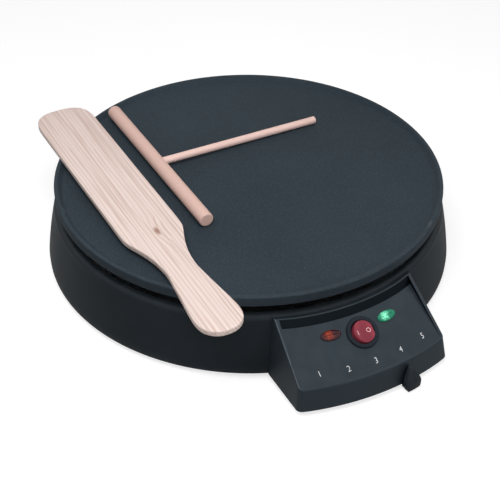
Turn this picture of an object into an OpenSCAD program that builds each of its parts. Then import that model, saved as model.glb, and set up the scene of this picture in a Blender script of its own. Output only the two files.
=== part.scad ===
// Electric crepe maker: a round cast cooking plate on a round plastic base, a wedge-shaped
// control housing at the front, a temperature lever that runs out under its edge, and a wooden
// spatula and spreader laid on the plate.
// Origin: on the plate's axis, at the level of the table. +Z is up and the front faces -Y.

/* [Cooking plate] */
// Outer diameter of the plate
plate_d = 330; // [316:1:345]
// Thickness of the plate under the cooking surface
plate_t = 5.5; // [5:0.1:7]
// Height of the rim above the cooking surface
rim_h = 3.5; // [2:0.1:5]
// Width of the rim's flat top
rim_w = 3.5; // [2.5:0.1:5]
// How far the rim's inner wall leans in
rim_slope = 3; // [1:0.1:5]
// Air gap between the base's top and the plate's underside
plate_gap = 9; // [7:0.1:12]

/* [Heating element] */
// Diameter of the heating element's ring, at the middle of its tube
element_d = 210; // [200:1:220]
// Diameter of the element's tube
tube_d = 7; // [6:0.1:7.6]
// Angle of the gap between the element's two ends
element_gap = 44; // [36:1:50]
// Width of the cast ridge that holds the element
ridge_w = 12; // [11:0.1:14]
// Length of the element's ends, turned down from the ring
leg_len = 12; // [9:0.5:14]
// Length of the bare pin on each end
pin_len = 6; // [4:0.5:7]
// Width of an element strap
strap_w = 10; // [8:0.5:12]
// Thickness of an element strap
strap_t = 1; // [0.8:0.1:1.4]

/* [Base] */
// Height of the base's shell
base_h = 51; // [49:1:56]
// How far the base stands out past the plate at its bottom edge
base_flare = 10; // [8:0.5:13]
// How far the base's wall leans in from its bottom edge to its shoulder
base_lean = 8.3; // [7:0.1:9]
// Bulge of the base's wall between the two
base_bulge = 0.75; // [0.3:0.05:1.2]
// Radius of the base's shoulder
shoulder_r = 5; // [4.5:0.1:5.5]
// Wall thickness of the plastic mouldings
wall = 2.5; // [2:0.1:2.8]
// How far the base's top opening lies inside the plate's edge
lip_inset = 5.5; // [4:0.5:7]
// Depth of the seat for the heat reflector, under the base's top
deck_drop = 10; // [9:0.5:11]
// Width of that seat
deck_w = 11.5; // [10:0.5:13]
// Width of the opening to the control housing
opening_w = 90; // [88:1:92]
// Height of that opening
opening_h = 35; // [33:0.5:36]

/* [Control housing] */
// How far the housing's front stands out past the base
box_depth = 44.5; // [43:0.5:48]
// Width of the housing at its bottom edge
box_w = 134.8; // [133:0.2:140]
// Height of the housing's front face
box_front_h = 19.8; // [19:0.1:21]
// How far the front face leans in
front_lean = 4; // [3:0.1:4.4]
// How far each side leans in, per millimetre of height
side_lean = 0.125; // [0.1:0.005:0.14]
// Radius of the edge between the front face and the panel
front_edge = 1.8; // [1:0.1:2.4]
// Drop from the base's top to the panel's upper edge
panel_drop = 7.2; // [6.6:0.1:8]
// Height of the step above the panel's upper edge
step_h = 6.2; // [4.6:0.1:6.6]

/* [Bottom cover and feet] */
// Height of the feet
foot_h = 5; // [4.8:0.1:7]
// Diameter of a foot under the base
foot_d = 16; // [14:0.5:18]
// Diameter of the circle of feet under the base
foot_circle = 250; // [240:1:260]
// Diameter of a foot under the housing
box_foot_d = 11.5; // [11:0.5:13.5]
// Thickness of the bottom cover
cover_t = 2; // [1.6:0.1:2.2]
// Number of vents in the bottom cover
vent_count = 12; // [8:1:16]
// Width of a vent
vent_w = 4; // [3:0.5:5]
// Length of a vent
vent_len = 26; // [20:1:30]

/* [Switch] */
// Diameter of the switch's bezel
bezel_d = 26; // [26:0.1:28]
// Height of the bezel above the panel
bezel_h = 2; // [1.6:0.1:2.6]
// Diameter of the rocker
rocker_d = 18; // [18:0.1:19.4]
// Angle between the rocker's two positions
rocker_travel = 20; // [16:1:22]
// Depth of the switch behind the panel
switch_depth = 17; // [15.5:0.5:18]
// Distance of the switch from the plate's axis
switch_r = 187; // [186:0.5:189]

/* [Indicator lamps] */
// Length of a lamp lens
lens_l = 16; // [14:0.5:17]
// Width of a lamp lens
lens_w = 8; // [8:0.1:9.6]
// Height of a lamp lens above the panel
lens_h = 2; // [1.5:0.1:2.5]
// Angle of each lamp from the middle of the panel
lamp_angle = 7.8; // [7.7:0.1:8.4]
// Distance of the lamps from the plate's axis
lamp_r = 182.9; // [182:0.1:184]

/* [Thermostat and lever] */
// Distance of the lever's pivot in front of the plate's axis
pivot_y = 62; // [60:0.5:64]
// Turn of the lever from its middle to each end
lever_swing = 18.3; // [16:0.1:19]
// Angle of the lever where it rests, towards the warm end
lever_rest = 9.1; // [0:0.1:16]
// Width of the lever's strip
lever_w = 9; // [8:0.1:10]
// Thickness of the lever's strip
lever_t = 1.6; // [1.2:0.1:1.8]
// Diameter of the thermostat's spindle
spindle_d = 6; // [5:0.1:6.4]
// Width of the lever's knob
knob_w = 15; // [13:0.1:16]
// Height of the knob's tip above the table
knob_h = 21; // [19:0.5:22]
// Thickness of the knob
knob_t = 4.8; // [3.8:0.1:5.2]

/* [Heat reflector] */
// Thickness of the reflector's sheet
pan_t = 1; // [0.8:0.1:1.2]
// Depth of the reflector's pan
pan_depth = 10; // [8:0.5:11]
// Distance of the plate's posts from its axis, along each side of the machine
post_x = 53; // [50:0.5:56]
// Diameter of a plate post
post_d = 10; // [9:0.1:12]

/* [Fixings and outlet] */
// Diameter of the small screws
screw_d = 3; // [2.5:0.1:3.4]
// Diameter of the small screws' heads
head_d = 6; // [5.4:0.1:6.4]
// Diameter of the bolts that carry the plate
bolt_d = 5; // [4:0.1:5.4]
// Bore of the mains outlet's bush
outlet_d = 7.2; // [6.6:0.1:8]
// Height of the outlet above the table
outlet_z = 20; // [19:0.5:22]
// Diameter of the inner wires
wire_d = 2.2; // [1.8:0.1:2.6]

/* [Spatula] */
// Length of the spatula
spatula_len = 336; // [300:1:345]
// Width of its blade
blade_w = 51; // [44:0.5:54]
// Length of its blade, with the shoulders
blade_len = 243; // [225:1:250]
// Width of its neck
neck_w = 25; // [22:0.5:30]
// Width of its grip
grip_w = 37; // [34:0.5:42]
// Thickness of the wood
spatula_t = 5; // [4:0.1:7]

/* [Spreader] */
// Length of the spreader's bar
bar_len = 187; // [180:1:200]
// Diameter of the bar
bar_d = 12.2; // [9:0.1:13]
// Length of the handle, from the middle of the bar
handle_len = 157; // [140:1:165]
// Diameter of the handle
handle_d = 6.5; // [5:0.1:8]

/* [Hidden] */
$fn = 64;

// Colours
CHARCOAL = [0.19, 0.22, 0.25];
COATED = [0.23, 0.27, 0.31];
STEEL = [0.72, 0.73, 0.75];
TINNED = [0.80, 0.80, 0.78];
BRASS = [0.80, 0.66, 0.34];
CERAMIC = [0.92, 0.90, 0.84];
BLACK = [0.06, 0.06, 0.07];
CRIMSON = [0.50, 0.14, 0.19];
PINE = [0.88, 0.78, 0.72];
DOWEL = [0.90, 0.74, 0.66];

// Clearances
slip = 0.05;
seat_gap = 0.05;
fit_gap = 0.3;
loose = 0.4;
sweep_gap = 0.5;

// Levels
base_z = foot_h;
base_top = base_z + base_h;
plate_z = base_top + plate_gap;
surface_z = plate_z + plate_t;
rim_z = surface_z + rim_h;
cover_top = base_z + cover_t;
deck_z = base_top - deck_drop;
pan_floor = deck_z + pan_t - pan_depth;
tube_z = plate_z - tube_d / 2 - seat_gap;
strap_z = tube_z - tube_d / 2 - strap_t;

// Radii of the round parts
plate_r = plate_d / 2;
base_r = plate_r + base_flare;
lip_r = plate_r - lip_inset;
deck_r = lip_r - deck_w;
element_r = element_d / 2;

// The base's wall and shoulder
shoulder_z = base_top - shoulder_r;
shoulder_x = base_r - base_lean - shoulder_r;
wall_steps = 8;
arc_steps = 6;

// Radius of the base's wall a share t of the way up to the shoulder
function wall_at(t) = base_r - base_lean * t + 4 * base_bulge * t * (1 - t);
// Radius of the base's wall at a height
function base_r_at(z) = wall_at((z - base_z) / (shoulder_z - base_z));
// The base's outer outline from the bottom edge to the top, moved out by a distance
function base_outline(out) = concat(
    [for (i = [0 : wall_steps])
        [wall_at(i / wall_steps) + out, base_z + (shoulder_z - base_z) * i / wall_steps]],
    [for (i = [1 : arc_steps])
        [shoulder_x + (shoulder_r + out) * cos(90 * i / arc_steps),
            shoulder_z + (shoulder_r + out) * sin(90 * i / arc_steps)]]);
// A list in the opposite order
function reversed(list) = [for (i = [len(list) - 1 : -1 : 0]) list[i]];

// The control housing's section
front_r = base_r + box_depth;
panel_z0 = base_z + box_front_h;
panel_r0 = front_r - front_lean - front_edge;
panel_z1 = base_top - panel_drop;
panel_r1 = base_r - 2;
panel_slope = atan((panel_z1 - panel_z0) / (panel_r0 - panel_r1));
panel_drop_in = wall / cos(panel_slope);
step_z = panel_z1 + step_h;
corner_r = 5.5;

// Height of the panel's surface at a distance from the plate's axis
function panel_z(r) = panel_z1 - (r - panel_r1) * tan(panel_slope);
// Half the housing's width at a height
function box_half(z) = box_w / 2 - side_lean * (z - base_z);
// A point at a distance and an angle from the front, towards +X
function polar(r, a, z) = [r * sin(a), -r * cos(a), z];
// A point given in the panel's own frame, in the machine's frame
function panel_point(r, a, p) =
    let (y = p.y * cos(panel_slope) - p.z * sin(panel_slope) - r)
    let (z = p.y * sin(panel_slope) + p.z * cos(panel_slope) + panel_z(r))
    [p.x * cos(a) - y * sin(a), p.x * sin(a) + y * cos(a), z];

// Switch
pocket = 0.6;
rocker_tilt = rocker_travel / 2;
rocker_axis_z = -2;
case_r = bezel_d / 2 - 2;
cavity_r = rocker_d / 2 + 0.6;
pin_r = 1.2;
blade_x = 4.6;
blade_drop = 8;
blade_t = 0.8;

// Lamps
neck_l = lens_l - 3;
neck_w2 = lens_w - 2;
neck_drop = 11;
neck_wall = 1;
cap_t = 2;

// Thermostat
frame_z = 46;
frame_t = 1.2;
ear_x = 17;
collar_r = 5;
collar_h = 6;
stack_y = -40;
stack_r = 4.5;
ceramic_gap = 2.6;
blade_sheet = 0.4;
contact_z = 52;
bimetal_t = 0.8;
bimetal_z = 58;
post_r = 3.5;
rivet_r = 1.4;
tip_r = 1.5;

// Lever
arm_z = 10.5;
leg_inset = 20.4;
strip_z = 2.2;
hub_r = 7;
knob_z = 1.6;
knob_reach = 4;
// The knob's inner corner clears the housing's round front at each end of the swing
knob_in = sqrt(front_r * front_r - pow(pivot_y * sin(lever_swing) - knob_w / 2, 2))
    - pivot_y * cos(lever_swing) + sweep_gap;
leg_r = knob_in - leg_inset;
knob_lean = front_lean / box_front_h;
lever_half = asin(lever_w / 2 / leg_r);
slot_half = lever_swing + lever_half + 1;

// Fixings
pilot_r = screw_d / 2 + slip;
clear_r = screw_d / 2 + 0.2;
head_h = 1.8;
boss_r = 5;
cover_boss_r = 152;
column_r = base_r + 9;
column_a = 17.5;
column_screw_z = 30;
foot_corner = [box_w / 2 - 9, -(front_r - 21.5)];
box_stem = 2.5;
stem_r = 2.5;
barb_r = 3.6;
ridge_r = ridge_w / 2;
strap_angles = [90, 180, 270];
strap_reach = 12.5;
ridge_z = tube_z;
post_boss_h = 4;
post_boss_r = 7;
wire_hole_r = 5;
hole_a = [-26, -98];
hole_b = [30, -30];
fuse_r = 2;
fuse_len = 13;
fuse_at = [46, 8];
fuse_side = 8;
block_at = [0, 112];
block_size = [34, 16, 13];
block_way = 10;
block_bite = 2.6;
outlet_pad_r = 9.5;
pad_out = base_r - 0.2;
pad_in = base_r - wall - 6.5;
bush_neck_r = 6;
bush_rim = 2;
earth_at = [-70, 60];

// Spatula and spreader places
spatula_tip = [-111.9, 160.4];
spatula_turn = 0.7;
bar_mid = [-64.9, 44.8];
spreader_turn = 0.8;
handle_dip = asin((bar_d - handle_d) / 2 / handle_len);
tenon = 7;

// Copies of the children round the plate's axis, the first at an angle from the front
module around(count, r, first = 0) {
    for (i = [0 : count - 1])
        rotate([0, 0, first + i * 360 / count])
            translate([0, -r, 0])
                children();
}

// Puts the children on the panel, with their +Z square to its surface
module on_panel(r, a) {
    rotate([0, 0, a])
        translate([0, -r, panel_z(r)])
            rotate([panel_slope, 0, 0])
                children();
}

// Puts the children on the lever's line at rest, with -Y along the lever from its pivot
module on_lever(turn = lever_rest) {
    translate([0, -pivot_y, 0])
        rotate([0, 0, turn])
            children();
}

// A bar with two round ends, along X
module stadium(l, w, h) {
    for (side = [-1, 1])
        translate([side * (l - w) / 2, 0, 0])
            cylinder(h = h, d = w);
    translate([-(l - w) / 2, -w / 2, 0])
        cube([l - w, w, h]);
}

// A pan-head screw: its head starts at z = 0 and its shank points up
module screw_up(length) {
    translate([0, 0, -head_h])
        cylinder(h = head_h, d = head_d, $fn = 32);
    cylinder(h = length, d = screw_d, $fn = 32);
}

// One ring of a wire, moved along its run onto the next plane
function next_ring(ring, run, at, normal) =
    [for (q = ring) q + run * (((at - q) * normal) / (run * normal))];
function unit(v) = v / norm(v);
function run_of(route, i) = unit(route[i + 1] - route[i]);
function rings(route, i, ring) = i == len(route) ? [] :
    let (run = run_of(route, i - 1))
    let (normal = i == len(route) - 1 ? run : unit(run + run_of(route, i)))
    let (moved = next_ring(ring, run, route[i], normal))
    concat([moved], rings(route, i + 1, moved));

// A wire along a route
module wire(route) {
    sides = 8;
    run = run_of(route, 0);
    across = unit(cross(run, abs(run.z) < 0.9 ? [0, 0, 1] : [1, 0, 0]));
    up = cross(run, across);
    first = [for (j = [0 : sides - 1])
        route[0] + (across * cos(j * 360 / sides) + up * sin(j * 360 / sides)) * wire_d / 2];
    all_rings = concat([first], rings(route, 1, first));
    points = [for (ring = all_rings) each ring];
    last = len(points) - sides;
    side_faces = [for (k = [0 : len(route) - 2])
        for (j = [0 : sides - 1])
            let (a = k * sides + j)
            let (b = k * sides + (j + 1) % sides)
            each [[a, a + sides, b + sides], [a, b + sides, b]]];
    polyhedron(points = points, faces = concat(side_faces,
        [[for (j = [0 : sides - 1]) j]],
        [[for (j = [sides - 1 : -1 : 0]) last + j]]));
}

// ---- Cooking plate -----------------------------------------------------------------------

module plate_section() {
    edge = 1.2;
    polygon([
        [0, plate_z],
        [plate_r - edge, plate_z],
        [plate_r, plate_z + edge],
        [plate_r, rim_z - edge],
        [plate_r - edge, rim_z],
        [plate_r - rim_w, rim_z],
        [plate_r - rim_w - rim_slope, surface_z],
        [0, surface_z]]);
}

module post_places() {
    for (x = [-post_x, post_x])
        for (y = [-post_x, post_x])
            translate([x, y, 0])
                children();
}

module strap_screw_places() {
    for (a = strap_angles)
        for (side = [-1, 1])
            rotate([0, 0, a])
                translate([0, -element_r - side * strap_reach, 0])
                    children();
}

module ear_places() {
    for (side = [-1, 1])
        translate([side * ear_x, -pivot_y, 0])
            children();
}

module fuse_screw_place() {
    translate([fuse_at.x - fuse_side, fuse_at.y, 0])
        children();
}

module cooking_plate() {
    color(COATED)
        difference() {
            union() {
                rotate_extrude($fn = 180) plate_section();
                rotate([0, 0, -90 + element_gap / 2])
                    rotate_extrude(angle = 360 - element_gap, $fn = 120)
                        translate([element_r - ridge_r, ridge_z])
                            square([ridge_w, plate_z - ridge_z + slip]);
                post_places()
                    translate([0, 0, plate_z - post_boss_h])
                        cylinder(h = post_boss_h + slip, r = post_boss_r);
                strap_screw_places()
                    translate([0, 0, strap_z + strap_t])
                        cylinder(h = plate_z - strap_z - strap_t + slip, r = 4);
                fuse_screw_place()
                    translate([0, 0, plate_z - 2 * fuse_r])
                        cylinder(h = 2 * fuse_r + slip, r = 3.4);
            }
            rotate_extrude($fn = 120)
                translate([element_r, tube_z])
                    circle(r = tube_d / 2 + slip);
            post_places()
                translate([0, 0, plate_z - post_boss_h - 1])
                    cylinder(h = post_boss_h + plate_t - 1, r = bolt_d / 2 + slip);
            strap_screw_places()
                translate([0, 0, strap_z])
                    cylinder(h = plate_z + 2 - strap_z, r = pilot_r);
            ear_places()
                translate([0, 0, plate_z - 1])
                    cylinder(h = 3.5, r = pilot_r);
            fuse_screw_place()
                translate([0, 0, plate_z - 2 * fuse_r - 1])
                    cylinder(h = 2 * fuse_r + 3, r = pilot_r);
        }
}

// ---- Heating element ---------------------------------------------------------------------

module element_ends() {
    for (side = [-1, 1])
        rotate([0, 0, side * element_gap / 2])
            translate([0, -element_r, tube_z])
                children();
}

module heating_element() {
    color(STEEL) {
        rotate([0, 0, -90 + element_gap / 2])
            rotate_extrude(angle = 360 - element_gap, $fn = 120)
                translate([element_r, tube_z])
                    circle(d = tube_d, $fn = 48);
        element_ends() {
            sphere(d = tube_d, $fn = 48);
            translate([0, 0, -leg_len])
                cylinder(h = leg_len, d = tube_d, $fn = 48);
        }
    }
}

module element_pins() {
    color(TINNED)
        element_ends()
            translate([0, 0, -leg_len - pin_len])
                cylinder(h = pin_len, r = 1.2, $fn = 24);
}

module element_straps() {
    color(STEEL)
        for (a = strap_angles)
            rotate([0, 0, a])
                translate([0, -element_r, strap_z])
                    difference() {
                        translate([-strap_w / 2, -strap_reach - 5, 0])
                            cube([strap_w, 2 * strap_reach + 10, strap_t - slip]);
                        for (side = [-1, 1])
                            translate([0, side * strap_reach, -1])
                                cylinder(h = strap_t + 2, r = clear_r);
                    }
}

module strap_screws() {
    color(TINNED)
        strap_screw_places()
            translate([0, 0, strap_z])
                screw_up(plate_z - strap_z + 1);
}

// ---- Heat reflector and the posts that carry the plate -------------------------------------

module plate_posts() {
    color(STEEL)
        post_places()
            translate([0, 0, pan_floor])
                difference() {
                    cylinder(h = plate_z - post_boss_h - pan_floor, d = post_d);
                    translate([0, 0, -1])
                        cylinder(h = plate_z, r = bolt_d / 2 + 0.1);
                }
}

module plate_bolts() {
    color(TINNED)
        post_places()
            translate([0, 0, pan_floor - pan_t]) {
                translate([0, 0, -3.4])
                    cylinder(h = 3.4, r = bolt_d * 0.9, $fn = 6);
                cylinder(h = plate_z + plate_t - 3 - pan_floor + pan_t, d = bolt_d);
            }
}

module reflector_section() {
    rise = deck_z - (pan_floor - pan_t);
    polygon([
        [0, pan_floor - pan_t],
        [deck_r - 8 - rise * 0.3, pan_floor - pan_t],
        [deck_r - 6, deck_z],
        [lip_r - 3, deck_z],
        [lip_r - 3, deck_z + pan_t],
        [deck_r - 7, deck_z + pan_t],
        [deck_r - 9 - rise * 0.3, pan_floor],
        [0, pan_floor]]);
}

pan_screw_r = (deck_r + lip_r) / 2 - 1;

module heat_reflector() {
    color(STEEL)
        difference() {
            rotate_extrude($fn = 180) reflector_section();
            around(6, pan_screw_r)
                translate([0, 0, deck_z - 1])
                    cylinder(h = pan_t + 2, r = clear_r);
            post_places()
                translate([0, 0, pan_floor - pan_t - 1])
                    cylinder(h = pan_t + 2, r = bolt_d / 2 + 0.1);
            translate([0, -pivot_y, pan_floor - pan_t - 1])
                cylinder(h = pan_t + 2, r = spindle_d / 2 + 2);
            for (at = [hole_a, hole_b])
                translate([at.x, at.y, pan_floor - pan_t - 1])
                    cylinder(h = pan_t + 2, r = wire_hole_r);
            translate([earth_at.x, earth_at.y, pan_floor - pan_t - 1])
                cylinder(h = pan_t + 2, r = pilot_r);
        }
}

module reflector_screws() {
    color(TINNED)
        around(6, pan_screw_r)
            translate([0, 0, deck_z + pan_t])
                rotate([180, 0, 0])
                    screw_up(pan_t + 7);
}

// ---- Base --------------------------------------------------------------------------------

module base_section() {
    land_x = lip_r + wall;
    in_r = shoulder_r - wall;
    top_a = 78;
    inner = concat(
        [for (i = [0 : wall_steps])
            [wall_at(i / wall_steps) - wall, base_z + (shoulder_z - base_z) * i / wall_steps]],
        [for (i = [1 : arc_steps])
            [shoulder_x + in_r * cos(top_a * i / arc_steps),
                shoulder_z + in_r * sin(top_a * i / arc_steps)]]);
    polygon(concat(
        base_outline(0),
        [[lip_r, base_top],
            [lip_r, deck_z],
            [deck_r, deck_z],
            [deck_r, deck_z - wall],
            [land_x, deck_z - wall],
            [land_x, base_top - wall]],
        reversed(inner)));
}

module cover_boss_places() {
    around(4, cover_boss_r, 45)
        children();
}

module column_places() {
    for (side = [-1, 1])
        rotate([0, 0, side * column_a])
            children();
}

module base_shell() {
    color(CHARCOAL)
        difference() {
            union() {
                rotate_extrude($fn = 180) base_section();
                cover_boss_places()
                    translate([0, 0, cover_top])
                        cylinder(h = deck_z - wall / 2 - cover_top, r = boss_r);
                around(6, pan_screw_r)
                    translate([0, 0, deck_z - 8])
                        cylinder(h = 8 - slip, r = 4);
                translate([0, pad_in, outlet_z])
                    rotate([-90, 0, 0])
                        cylinder(h = pad_out - pad_in, r = outlet_pad_r);
            }
            translate([-opening_w / 2, -base_r - 10, base_z - 1])
                cube([opening_w, 30, opening_h + 1]);
            translate([-box_half(base_z) + wall + loose, -base_r - 10, base_z - 1])
                cube([2 * (box_half(base_z) - wall - loose), 60, cover_t + 1 + loose]);
            cover_boss_places()
                translate([0, 0, cover_top - 1])
                    cylinder(h = 13, r = pilot_r);
            around(6, pan_screw_r)
                translate([0, 0, deck_z - 9])
                    cylinder(h = 10, r = pilot_r);
            column_places()
                translate([0, -base_r, column_screw_z])
                    rotate([-90, 0, 0])
                        cylinder(h = 12, r = clear_r);
            translate([0, pad_in - 1, outlet_z])
                rotate([-90, 0, 0])
                    cylinder(h = pad_out - pad_in + 2, r = bush_neck_r + slip);
        }
}

// ---- Control housing ---------------------------------------------------------------------

module housing_outline(inset) {
    inner_r = 150;
    polygon([
        [inner_r, base_z],
        [front_r - inset, base_z],
        [front_r - front_lean - inset, panel_z0 - front_edge * 0.6],
        [panel_r0, panel_z0],
        [panel_r1, panel_z1],
        [base_r - 5.6, step_z],
        [inner_r, step_z]]);
}

module side_wedge(inset) {
    top = base_top + 10;
    rotate([90, 0, 0])
        linear_extrude(height = front_r + 10)
            polygon([
                [-box_half(0) + inset, 0],
                [box_half(0) - inset, 0],
                [box_half(top) - inset, top],
                [-box_half(top) + inset, top]]);
}

// The housing's plan: a round front between two straight sides, with rounded corners
module plan_block() {
    half = box_w / 2;
    in_x = half - corner_r;
    corner_y = sqrt(pow(front_r - corner_r, 2) - in_x * in_x);
    for (side = [-1, 1])
        translate([side * in_x, -corner_y, 0])
            cylinder(h = base_top, r = corner_r);
    translate([-half, -corner_y, 0])
        cube([box_w, corner_y, base_top]);
    intersection() {
        cylinder(h = base_top, r = front_r, $fn = 180);
        translate([-in_x, -front_r - 5, 0])
            cube([2 * in_x, front_r, base_top]);
    }
}

module cavity_section() {
    inner_r = 140;
    back_r = panel_r1 - 2;
    polygon([
        [inner_r, 0],
        [front_r - wall, 0],
        [front_r - front_lean - wall, panel_z(front_r - front_lean - wall) - panel_drop_in],
        [back_r, panel_z(back_r) - panel_drop_in],
        [inner_r, panel_z(back_r) - panel_drop_in]]);
}

module box_foot_places() {
    for (side = [-1, 1])
        translate([side * foot_corner.x, foot_corner.y, 0])
            children();
}

module control_housing() {
    color(CHARCOAL)
        difference() {
            union() {
                difference() {
                    intersection() {
                        rotate_extrude($fn = 180) housing_outline(0);
                        side_wedge(0);
                        plan_block();
                    }
                    intersection() {
                        rotate_extrude($fn = 180) cavity_section();
                        side_wedge(wall);
                    }
                }
                intersection() {
                    union() {
                        column_places() {
                            translate([0, -column_r, cover_top])
                                cylinder(h = base_top, r = boss_r);
                            translate([0, -column_r, column_screw_z])
                                rotate([-90, 0, 0])
                                    cylinder(h = column_r - base_r + 8, r = 4);
                        }
                        box_foot_places()
                            translate([0, 0, base_z])
                                cylinder(h = 16, r = boss_r + 1);
                    }
                    translate([0, 0, -wall / 2])
                        rotate_extrude($fn = 180) housing_outline(wall / 2);
                    side_wedge(wall / 2);
                    plan_block();
                }
            }
            rotate_extrude($fn = 180)
                polygon(concat(
                    [[0, 0], [base_r + fit_gap, 0]],
                    base_outline(fit_gap),
                    [[0, base_top + fit_gap]]));
            column_places() {
                translate([0, -column_r, 0])
                    cylinder(h = 18, r = pilot_r);
                translate([0, -column_r - 3, column_screw_z])
                    rotate([-90, 0, 0])
                        cylinder(h = 40, r = pilot_r);
            }
            box_foot_places()
                cylinder(h = base_z + 9, r = box_stem + slip);
            on_panel(switch_r, 0) {
                translate([0, 0, -pocket])
                    cylinder(h = 10, r = bezel_d / 2 + 0.1);
                translate([0, 0, -10])
                    cylinder(h = 20, r = case_r + 0.1);
            }
            for (side = [-1, 1])
                on_panel(lamp_r, side * lamp_angle) {
                    translate([0, 0, -pocket])
                        stadium(lens_l + 0.2, lens_w + 0.2, 10);
                    translate([0, 0, -10])
                        stadium(neck_l + 0.2, neck_w2 + 0.2, 20);
                }
        }
}

module housing_screws() {
    color(TINNED)
        column_places()
            translate([0, -base_r_at(column_screw_z) + wall + 0.8, column_screw_z])
                rotate([90, 0, 0])
                    screw_up(column_r - base_r_at(column_screw_z) + wall + 2);
}

// ---- Bottom cover, screws and feet ---------------------------------------------------------

module cover_outline() {
    cover_lean = front_lean * cover_top / box_front_h;
    difference() {
        union() {
            cylinder(h = cover_t, r = base_r - wall - loose, $fn = 180);
            intersection() {
                cylinder(h = cover_t, r = front_r - wall - cover_lean - loose, $fn = 180);
                translate([-box_half(cover_top) + wall + loose, -front_r, 0])
                    cube([2 * (box_half(cover_top) - wall - loose), front_r, cover_t]);
            }
        }
        box_foot_places()
            translate([0, 0, -1])
                cylinder(h = cover_t + 2, r = boss_r + 1 + loose);
    }
}

module bottom_cover() {
    color(CHARCOAL)
        difference() {
            translate([0, 0, base_z])
                cover_outline();
            translate([0, 0, base_z - 1]) {
                cover_boss_places()
                    cylinder(h = cover_t + 2, r = clear_r);
                column_places()
                    translate([0, -column_r, 0])
                        cylinder(h = cover_t + 2, r = clear_r);
                around(4, foot_circle / 2, 45)
                    cylinder(h = cover_t + 2, r = stem_r + slip);
                around(vent_count, 75, 180 / vent_count)
                    rotate([0, 0, 90])
                        stadium(vent_len, vent_w, cover_t + 2);
                translate([0, -pivot_y, 0])
                    cylinder(h = cover_t + 2, r = head_d / 2 + 1);
                translate([block_at.x, block_at.y, 0])
                    cylinder(h = cover_t + 2, r = clear_r);
                translate([0, -pivot_y, 0])
                    rotate([0, 0, -90 - slot_half])
                        rotate_extrude(angle = 2 * slot_half, $fn = 120)
                            translate([leg_r - lever_t - 1.6, 0])
                                square([lever_t + 3.4, cover_t + 2]);
            }
        }
}

module cover_screws() {
    color(TINNED)
        translate([0, 0, base_z]) {
            cover_boss_places()
                screw_up(cover_t + 10);
            column_places()
                translate([0, -column_r, 0])
                    screw_up(cover_t + 10);
            translate([block_at.x, block_at.y, 0])
                screw_up(cover_t + block_bite);
        }
}

module rubber_feet() {
    color(BLACK)
        around(4, foot_circle / 2, 45) {
            cylinder(h = foot_h, d = foot_d);
            cylinder(h = cover_top + seat_gap, r = stem_r);
            translate([0, 0, cover_top + seat_gap])
                cylinder(h = 1.6, r = barb_r);
        }
}

module box_feet() {
    color(BLACK)
        box_foot_places() {
            cylinder(h = foot_h, d = box_foot_d);
            cylinder(h = base_z + 8, r = box_stem);
        }
}

// ---- Switch ------------------------------------------------------------------------------

module switch_case() {
    edge = 0.8;
    color(BLACK)
        on_panel(switch_r, 0)
            difference() {
                union() {
                    translate([0, 0, -pocket])
                        cylinder(h = bezel_h + pocket - edge, d = bezel_d);
                    translate([0, 0, bezel_h - edge])
                        cylinder(h = edge, r1 = bezel_d / 2, r2 = bezel_d / 2 - edge);
                    translate([0, 0, -switch_depth])
                        cylinder(h = switch_depth, r = case_r);
                }
                translate([0, 0, rocker_axis_z - 8])
                    cylinder(h = 20, r = cavity_r);
                translate([0, -cavity_r - 0.8, rocker_axis_z])
                    rotate([-90, 0, 0])
                        cylinder(h = 2 * cavity_r + 1.6, r = pin_r + slip, $fn = 32);
            }
}

module switch_rocker() {
    side_r = rocker_d / 2 + 0.3;
    side_top = 5.6;
    dish = 3.8;
    color(CRIMSON)
        on_panel(switch_r, 0)
            translate([0, 0, rocker_axis_z])
                rotate([0, rocker_tilt, 0]) {
                    intersection() {
                        translate([0, 0, -3])
                            cylinder(h = 14, d = rocker_d);
                        translate([0, rocker_d, 0])
                            rotate([90, 0, 0])
                                cylinder(h = 2 * rocker_d, r = side_r);
                        translate([0, rocker_d, 0])
                            rotate([90, 0, 0])
                                linear_extrude(height = 2 * rocker_d)
                                    polygon([
                                        [-rocker_d, -2.4],
                                        [rocker_d, -2.4],
                                        [rocker_d, side_top * 1.1],
                                        [0, dish],
                                        [-rocker_d, side_top * 1.1]]);
                    }
                    translate([0, -cavity_r - 0.5, 0])
                        rotate([-90, 0, 0])
                            cylinder(h = 2 * cavity_r + 1, r = pin_r, $fn = 32);
                }
}

module switch_terminals() {
    color(BRASS)
        on_panel(switch_r, 0)
            for (x = [-blade_x, 0, blade_x])
                translate([x - blade_t / 2, -3, -switch_depth - blade_drop])
                    cube([blade_t, 6, blade_drop]);
}

// ---- Indicator lamps -----------------------------------------------------------------------

module lamp_lens() {
    cap = 0.9;
    difference() {
        union() {
            translate([0, 0, -pocket])
                stadium(lens_l, lens_w, pocket + lens_h - cap);
            translate([0, 0, lens_h - cap])
                stadium(lens_l - 2, lens_w - 2, cap);
            translate([0, 0, -neck_drop])
                stadium(neck_l, neck_w2, neck_drop);
        }
        translate([0, 0, -neck_drop - 1])
            stadium(neck_l - 2 * neck_wall, neck_w2 - 2 * neck_wall, neck_drop + 1);
    }
}

module red_lamp_lens() {
    color([0.72, 0.05, 0.06])
        on_panel(lamp_r, -lamp_angle)
            lamp_lens();
}

module green_lamp_lens() {
    color([0.10, 0.62, 0.22])
        on_panel(lamp_r, lamp_angle)
            lamp_lens();
}

module lamp_holders() {
    color(CERAMIC)
        for (side = [-1, 1])
            on_panel(lamp_r, side * lamp_angle)
                difference() {
                    translate([0, 0, -neck_drop - cap_t])
                        stadium(neck_l, neck_w2, cap_t);
                    for (x = [-1.2, 1.2])
                        translate([x, 0, -neck_drop - cap_t - 1])
                            cylinder(h = cap_t + 2, r = 0.35, $fn = 16);
                }
}

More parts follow.
